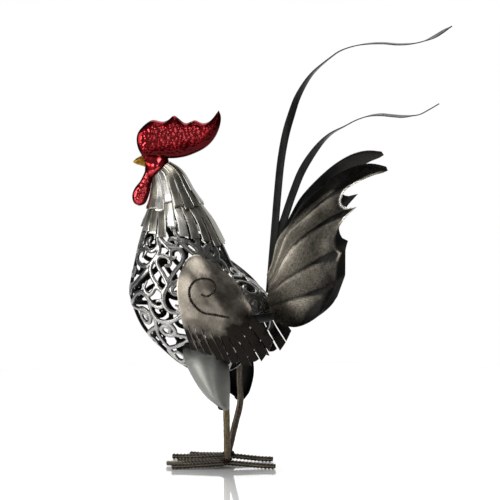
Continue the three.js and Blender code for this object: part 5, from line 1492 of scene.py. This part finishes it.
# Each part of a ribbon's twist, from one share of its length to another, in degrees.
LONG_TWIST = [(0.36, 0.68, 90), (0.72, 0.8, 9), (0.86, 0.91, -9), (0.91, 0.96, 36), (0.97, 1.0, -30)]
SHORT_TWIST = [(0.36, 0.68, 90), (0.72, 0.8, 14), (0.86, 0.91, -14)]
LONG_RIBBON = [
    [45, 200], [48, 237], [50, 261], [52, 285], [54.7, 317.5], [58, 350], [63, 379], [69.4, 402],
    [78.5, 427], [94, 451], [116, 470], [128, 477.6], [143.6, 482.6], [159.6, 485], [175.6, 485.4],
    [191.5, 484.2], [207.5, 485], [220, 487.6], [233, 493], [243, 499], [252.6, 504.8],
]
SHORT_RIBBON = [
    [46, 202], [49, 232], [53, 258], [62, 286], [72.6, 317], [83, 342], [98.6, 366], [114, 382], [132, 392],
    [144.6, 398.6], [159, 403.4], [172, 404.8], [183, 404], [196, 403], [207, 403.8], [217, 405.6],
    [228, 411.4], [238.4, 417.6],
]


def tail_tone(share, along, t):
    """How black a line of the plate is: more so towards the rim and the edges, darker along the creases with
    painted shade, and bare on the worn points of the rim."""
    beside = min(abs(share - place) for place, _ in TAIL_GUIDES)
    # Blackening towards the rim, plus painted shade along the creases.
    rim_black_and_crease_shade = 0.72 * smooth_step(0.3, 0.92, along) + 0.4 * math.exp(-((beside / 0.012) ** 2))
    lower = 0.3 * smooth_step(0.8, 1.0, share)
    upper = 0.75 * (1 - smooth_step(0.03, 0.2, share)) * smooth_step(0.1, 0.5, along)
    notches = smooth_step(0.18, 0.24, share) * (1 - smooth_step(0.46, 0.56, share))
    spur = math.exp(-(((share - 0.7) / 0.02) ** 2))
    tip = smooth_step(0.0, 0.05, share) * (1 - smooth_step(0.2, 0.24, share))
    worn = 1.25 * smooth_step(0.94, 0.99, t) * max(notches, 0.9 * spur, 0.9 * tip)
    return 0.14 + rim_black_and_crease_shade + lower + upper - worn


def tail_grid(side, lift, setback):
    """A sickle shaped plate whose creases fan out from its root to a pronged outer edge."""
    rows, per = 60, 9
    shares = []
    for (a, _), (b, _) in zip(TAIL_GUIDES[:-1], TAIL_GUIDES[1:]):
        part = np.linspace(0, 1, per)[: -1 if b < 1 else None]
        shares += list(a + (b - a) * part)
    t = TAIL_ROOT + (1 - TAIL_ROOT) * np.linspace(0, 1, rows)
    turn = math.radians(lift)
    columns = []
    for share in shares:
        index = max(1, next(i for i, (place, _) in enumerate(TAIL_GUIDES) if place >= share - 1e-9))
        (a, above), (b, below) = TAIL_GUIDES[index - 1], TAIL_GUIDES[index]
        mix = (share - a) / (b - a)
        bite = 0.0
        for start, end, depth in SCALLOPS:
            if start < share < end:
                bite = depth * math.sin(math.pi * (share - start) / (end - start)) ** 0.8
        if share < BLUNT:
            bite = BLUNT_BITE * (1 - share / BLUNT) ** 2
        prong = sum(size * math.exp(-(((share - place) / spread) ** 2)) for place, spread, size in PRONGS)
        along = t * (1 - bite * t**4)
        flat = spline(above, along) * (1 - mix) + spline(below, along) * mix
        flat = flat + unit(flat[-1] - flat[-4]) * prong * smooth_step(0.8, 1.0, t)[:, None]
        crease = 0.9 * np.abs(np.sin(np.pi * mix)) ** 0.5 * np.sin(np.pi * np.minimum(along + 0.05, 0.62))
        depth = TAIL_STAND_OFF + TAIL_FLARE * along**1.5 + crease
        arm = flat - TAIL_PIVOT
        x = TAIL_PIVOT[0] + setback + arm[:, 0] * math.cos(turn) - arm[:, 1] * math.sin(turn)
        z = TAIL_PIVOT[1] + arm[:, 0] * math.sin(turn) + arm[:, 1] * math.cos(turn)
        tone = tail_tone(share, along, t)
        columns.append(np.stack([x, side * depth, z, share * 190 + 0 * t, along * 200, tone], 1))
    return np.stack(columns, 1)


def ribbon(line, side, width, sheet, twist):
    """A flat strip that stands face out between the tail plates and turns edge on above them."""
    count = 260
    points = spline(line, np.linspace(0, 1, count))
    share = run_lengths(points)
    share = share / share[-1]
    path = np.stack([points[:, 0], np.full(count, side * 0.8), points[:, 1]], 1)
    along = unit(np.gradient(path, axis=0))
    angle = sum(math.radians(turn) * smooth_step(start, end, share) for start, end, turn in twist)
    flat = np.array([0.0, side, 0.0])
    normals = flat * np.cos(angle)[:, None] + np.cross(along, flat) * np.sin(angle)[:, None]
    taper = 1 - 0.45 * smooth_step(0.86, 1.0, share)
    surface = Surface()
    section = strap_section(width, sheet)[None] * np.stack([taper, np.ones(count)], -1)[:, None]
    sweep(surface, path, normals, section)
    return surface


def tab_strap(side, setback):
    """A bent strap from inside the wing to the root of the tail plate."""
    x, z = TAB_START[0] + wing_shift(side), TAB_START[1]
    start = np.array([x, wing_depth(np.array(x), np.array(z)) - TAB_TUCK, z])
    end = np.array(TAB_END) + [setback, 0, 0]
    bend = start * 0.45 + end * 0.55 + [7, 0, -1]
    path = spline([start, bend, end], np.linspace(0, 1, 30)) * [1, side, 1]
    normals = np.cross(np.gradient(path, axis=0), [0, 0, 1])
    surface = Surface()
    sweep(surface, path, normals, strap_section(TAB_WIDTH, TAB_SHEET))
    return surface


class ROOSTER_OT_tail(bpy.types.Operator):
    """Creases the tail plates, twists the ribbons and bends the tabs"""

    bl_idname = "rooster.tail"
    bl_label = "Tail"

    def execute(self, context):
        sizes, colours = context.scene.rooster_sizes, context.scene.rooster_colours
        gunmetal = scratched_gunmetal(colours)
        black = blackened_steel("blackened steel strip", colours.black)
        far_black = blackened_steel("blackened steel plate", colours.tail_edge)
        for name, side in SIDES:
            lift, setback = (0, 0) if side == LEFT else (FAR_TAIL_TURN, FAR_TAIL_SETBACK)
            grid = tail_grid(side, lift, setback)
            surface = Surface()
            surface.add(grid[..., :3], grid_faces(*grid.shape[:2]), grid[..., 3:5], grid[..., 5])
            made = rolled_edge(surface.build(name + "_tail_sickle"), sizes.tail_sheet / MM, 0.3)
            slot_name = "gunmetal" if side == LEFT else "black_steel"
            finish = gunmetal if side == LEFT else far_black
            piece(made, finish, slot_name, name + "_tail_plate", smooth_angle=28)

            made = tab_strap(side, setback).build(name + "_tab_strap")
            piece(made, black, "gunmetal", name + "_tail_tab", smooth_angle=35)

        width, sheet = sizes.ribbon_width / MM, sizes.ribbon_sheet / MM
        for label, line, side, twist in (
            ("long", LONG_RIBBON, LEFT, LONG_TWIST),
            ("short", SHORT_RIBBON, RIGHT, SHORT_TWIST),
        ):
            made = ribbon(line, side, width, sheet, twist).build(label + "_ribbon")
            piece(made, black, "black_steel", label + "_tail_ribbon", smooth_angle=35)
        return {"FINISHED"}


# Stage


CAMERA_AZIMUTH, CAMERA_ELEVATION = 10.0, 5.0
CAMERA_DISTANCE = 3.0
FRAME_WIDTH = 0.573  # metres across the picture at the rooster
SENSOR = 36.0
TARGET = Vector((-0.045, 0.0, 0.249))
ROOM_LIGHT, BACKDROP_LIGHT = 0.14, 1.0
FLOOR_RADIUS = 0.9
LIGHTS = (  # name, place and aim in metres, size in metres and power in watts
    ("key", (-1.5, -0.95, 0.5), (-0.05, 0, 0.24), 0.8, 15),
    ("top", (-0.2, 0.3, 1.9), (0, 0.1, 0), 1.6, 62),
    ("front", (0.1, -2.0, 0.5), (0, 0, 0.24), 0.8, 3.5),
    ("front top", (-0.32, -1.27, 1.7), (-0.08, 0, 0.26), 0.6, 4.5),
)


def aim(made, place, target):
    made.location = place
    made.rotation_euler = (Vector(target) - Vector(place)).to_track_quat("-Z", "Y").to_euler()


def soft_light(name, place, target, size, power):
    light = bpy.data.lights.new(name, "AREA")
    light.shape, light.size, light.energy = "SQUARE", size, power
    made = bpy.data.objects.new(name, light)
    bpy.context.scene.collection.objects.link(made)
    aim(made, place, target)


class ROOSTER_OT_stage(bpy.types.Operator):
    """Lays a pale floor and sets up soft lights and the camera"""

    bl_idname = "rooster.stage"
    bl_label = "Stage"

    def execute(self, context):
        scene = context.scene
        turn = np.arange(96) * 2 * np.pi / 96
        rim = np.stack([FLOOR_RADIUS * np.cos(turn), FLOOR_RADIUS * np.sin(turn), np.zeros(96)], 1)
        mesh = bpy.data.meshes.new("floor")
        mesh.from_pydata(rim.tolist(), [], [list(range(96))])
        floor = bpy.data.objects.new("floor", mesh)
        scene.collection.objects.link(floor)
        white = (*linear("#f7f7f7"), 1)
        glaze, _ = new_finish("white glazed board", Base_Color=white, Roughness=0.035, Coat_Weight=1.0)
        mesh.materials.append(glaze)

        world = bpy.data.worlds.new("studio")
        scene.world = world
        world.use_nodes = True
        room = world.node_tree.nodes["Background"]
        room.inputs["Color"].default_value = (1, 1, 1, 1)
        seen = add_node(world, "LightPath", output="Is Camera Ray")
        direction = add_node(world, "TexCoord", output="Generated")
        heading = add_node(world, "SeparateXYZ", {"Vector": direction}, "Y")
        behind = add_node(world, "MapRange", {"Value": heading, "From Min": 0.6, "From Max": 0.85})
        backdrop = add_node(world, "Math", {0: seen, 1: behind}, operation="MAXIMUM")
        levels = {"Value": backdrop, "To Min": ROOM_LIGHT, "To Max": BACKDROP_LIGHT}
        level = add_node(world, "MapRange", levels)
        world.node_tree.links.new(level, room.inputs["Strength"])
        scene.view_settings.view_transform = "Standard"

        for light in LIGHTS:
            soft_light(*light)

        camera = bpy.data.cameras.new("camera")
        camera.sensor_width = SENSOR
        camera.lens = SENSOR * CAMERA_DISTANCE / FRAME_WIDTH
        made = bpy.data.objects.new("camera", camera)
        scene.collection.objects.link(made)
        a, e = math.radians(CAMERA_AZIMUTH), math.radians(CAMERA_ELEVATION)
        back = Vector((math.sin(a) * math.cos(e), -math.cos(a) * math.cos(e), math.sin(e)))
        aim(made, TARGET + back * CAMERA_DISTANCE, TARGET)
        scene.camera = made
        return {"FINISHED"}


# Panel


STEPS = (
    ROOSTER_OT_head,
    ROOSTER_OT_neck,
    ROOSTER_OT_body,
    ROOSTER_OT_wings,
    ROOSTER_OT_legs,
    ROOSTER_OT_tail,
    ROOSTER_OT_stage,
)


class ROOSTER_PT_panel(bpy.types.Panel):
    """Lists the rooster's pieces and settings"""

    bl_idname = "ROOSTER_PT_panel"
    bl_label = "Rooster"
    bl_space_type = "VIEW_3D"
    bl_region_type = "UI"
    bl_category = "Rooster"

    def draw(self, context):
        for step in STEPS:
            self.layout.operator(step.bl_idname)
        for group in (context.scene.rooster_sizes, context.scene.rooster_colours):
            column = self.layout.column()
            for name in group.bl_rna.properties.keys():
                if name not in ("rna_type", "name"):
                    column.prop(group, name)


CLASSES = (RoosterSizes, RoosterColours, *STEPS, ROOSTER_PT_panel)


def register():
    for each in CLASSES:
        bpy.utils.register_class(each)
    bpy.types.Scene.rooster_sizes = bpy.props.PointerProperty(type=RoosterSizes)
    bpy.types.Scene.rooster_colours = bpy.props.PointerProperty(type=RoosterColours)


def unregister():
    del bpy.types.Scene.rooster_sizes
    del bpy.types.Scene.rooster_colours
    for each in reversed(CLASSES):
        bpy.utils.unregister_class(each)


def main():
    register()
    for step in STEPS:
        namespace, name = step.bl_idname.split(".")
        getattr(getattr(bpy.ops, namespace), name)()


if __name__ == "__main__":
    main()
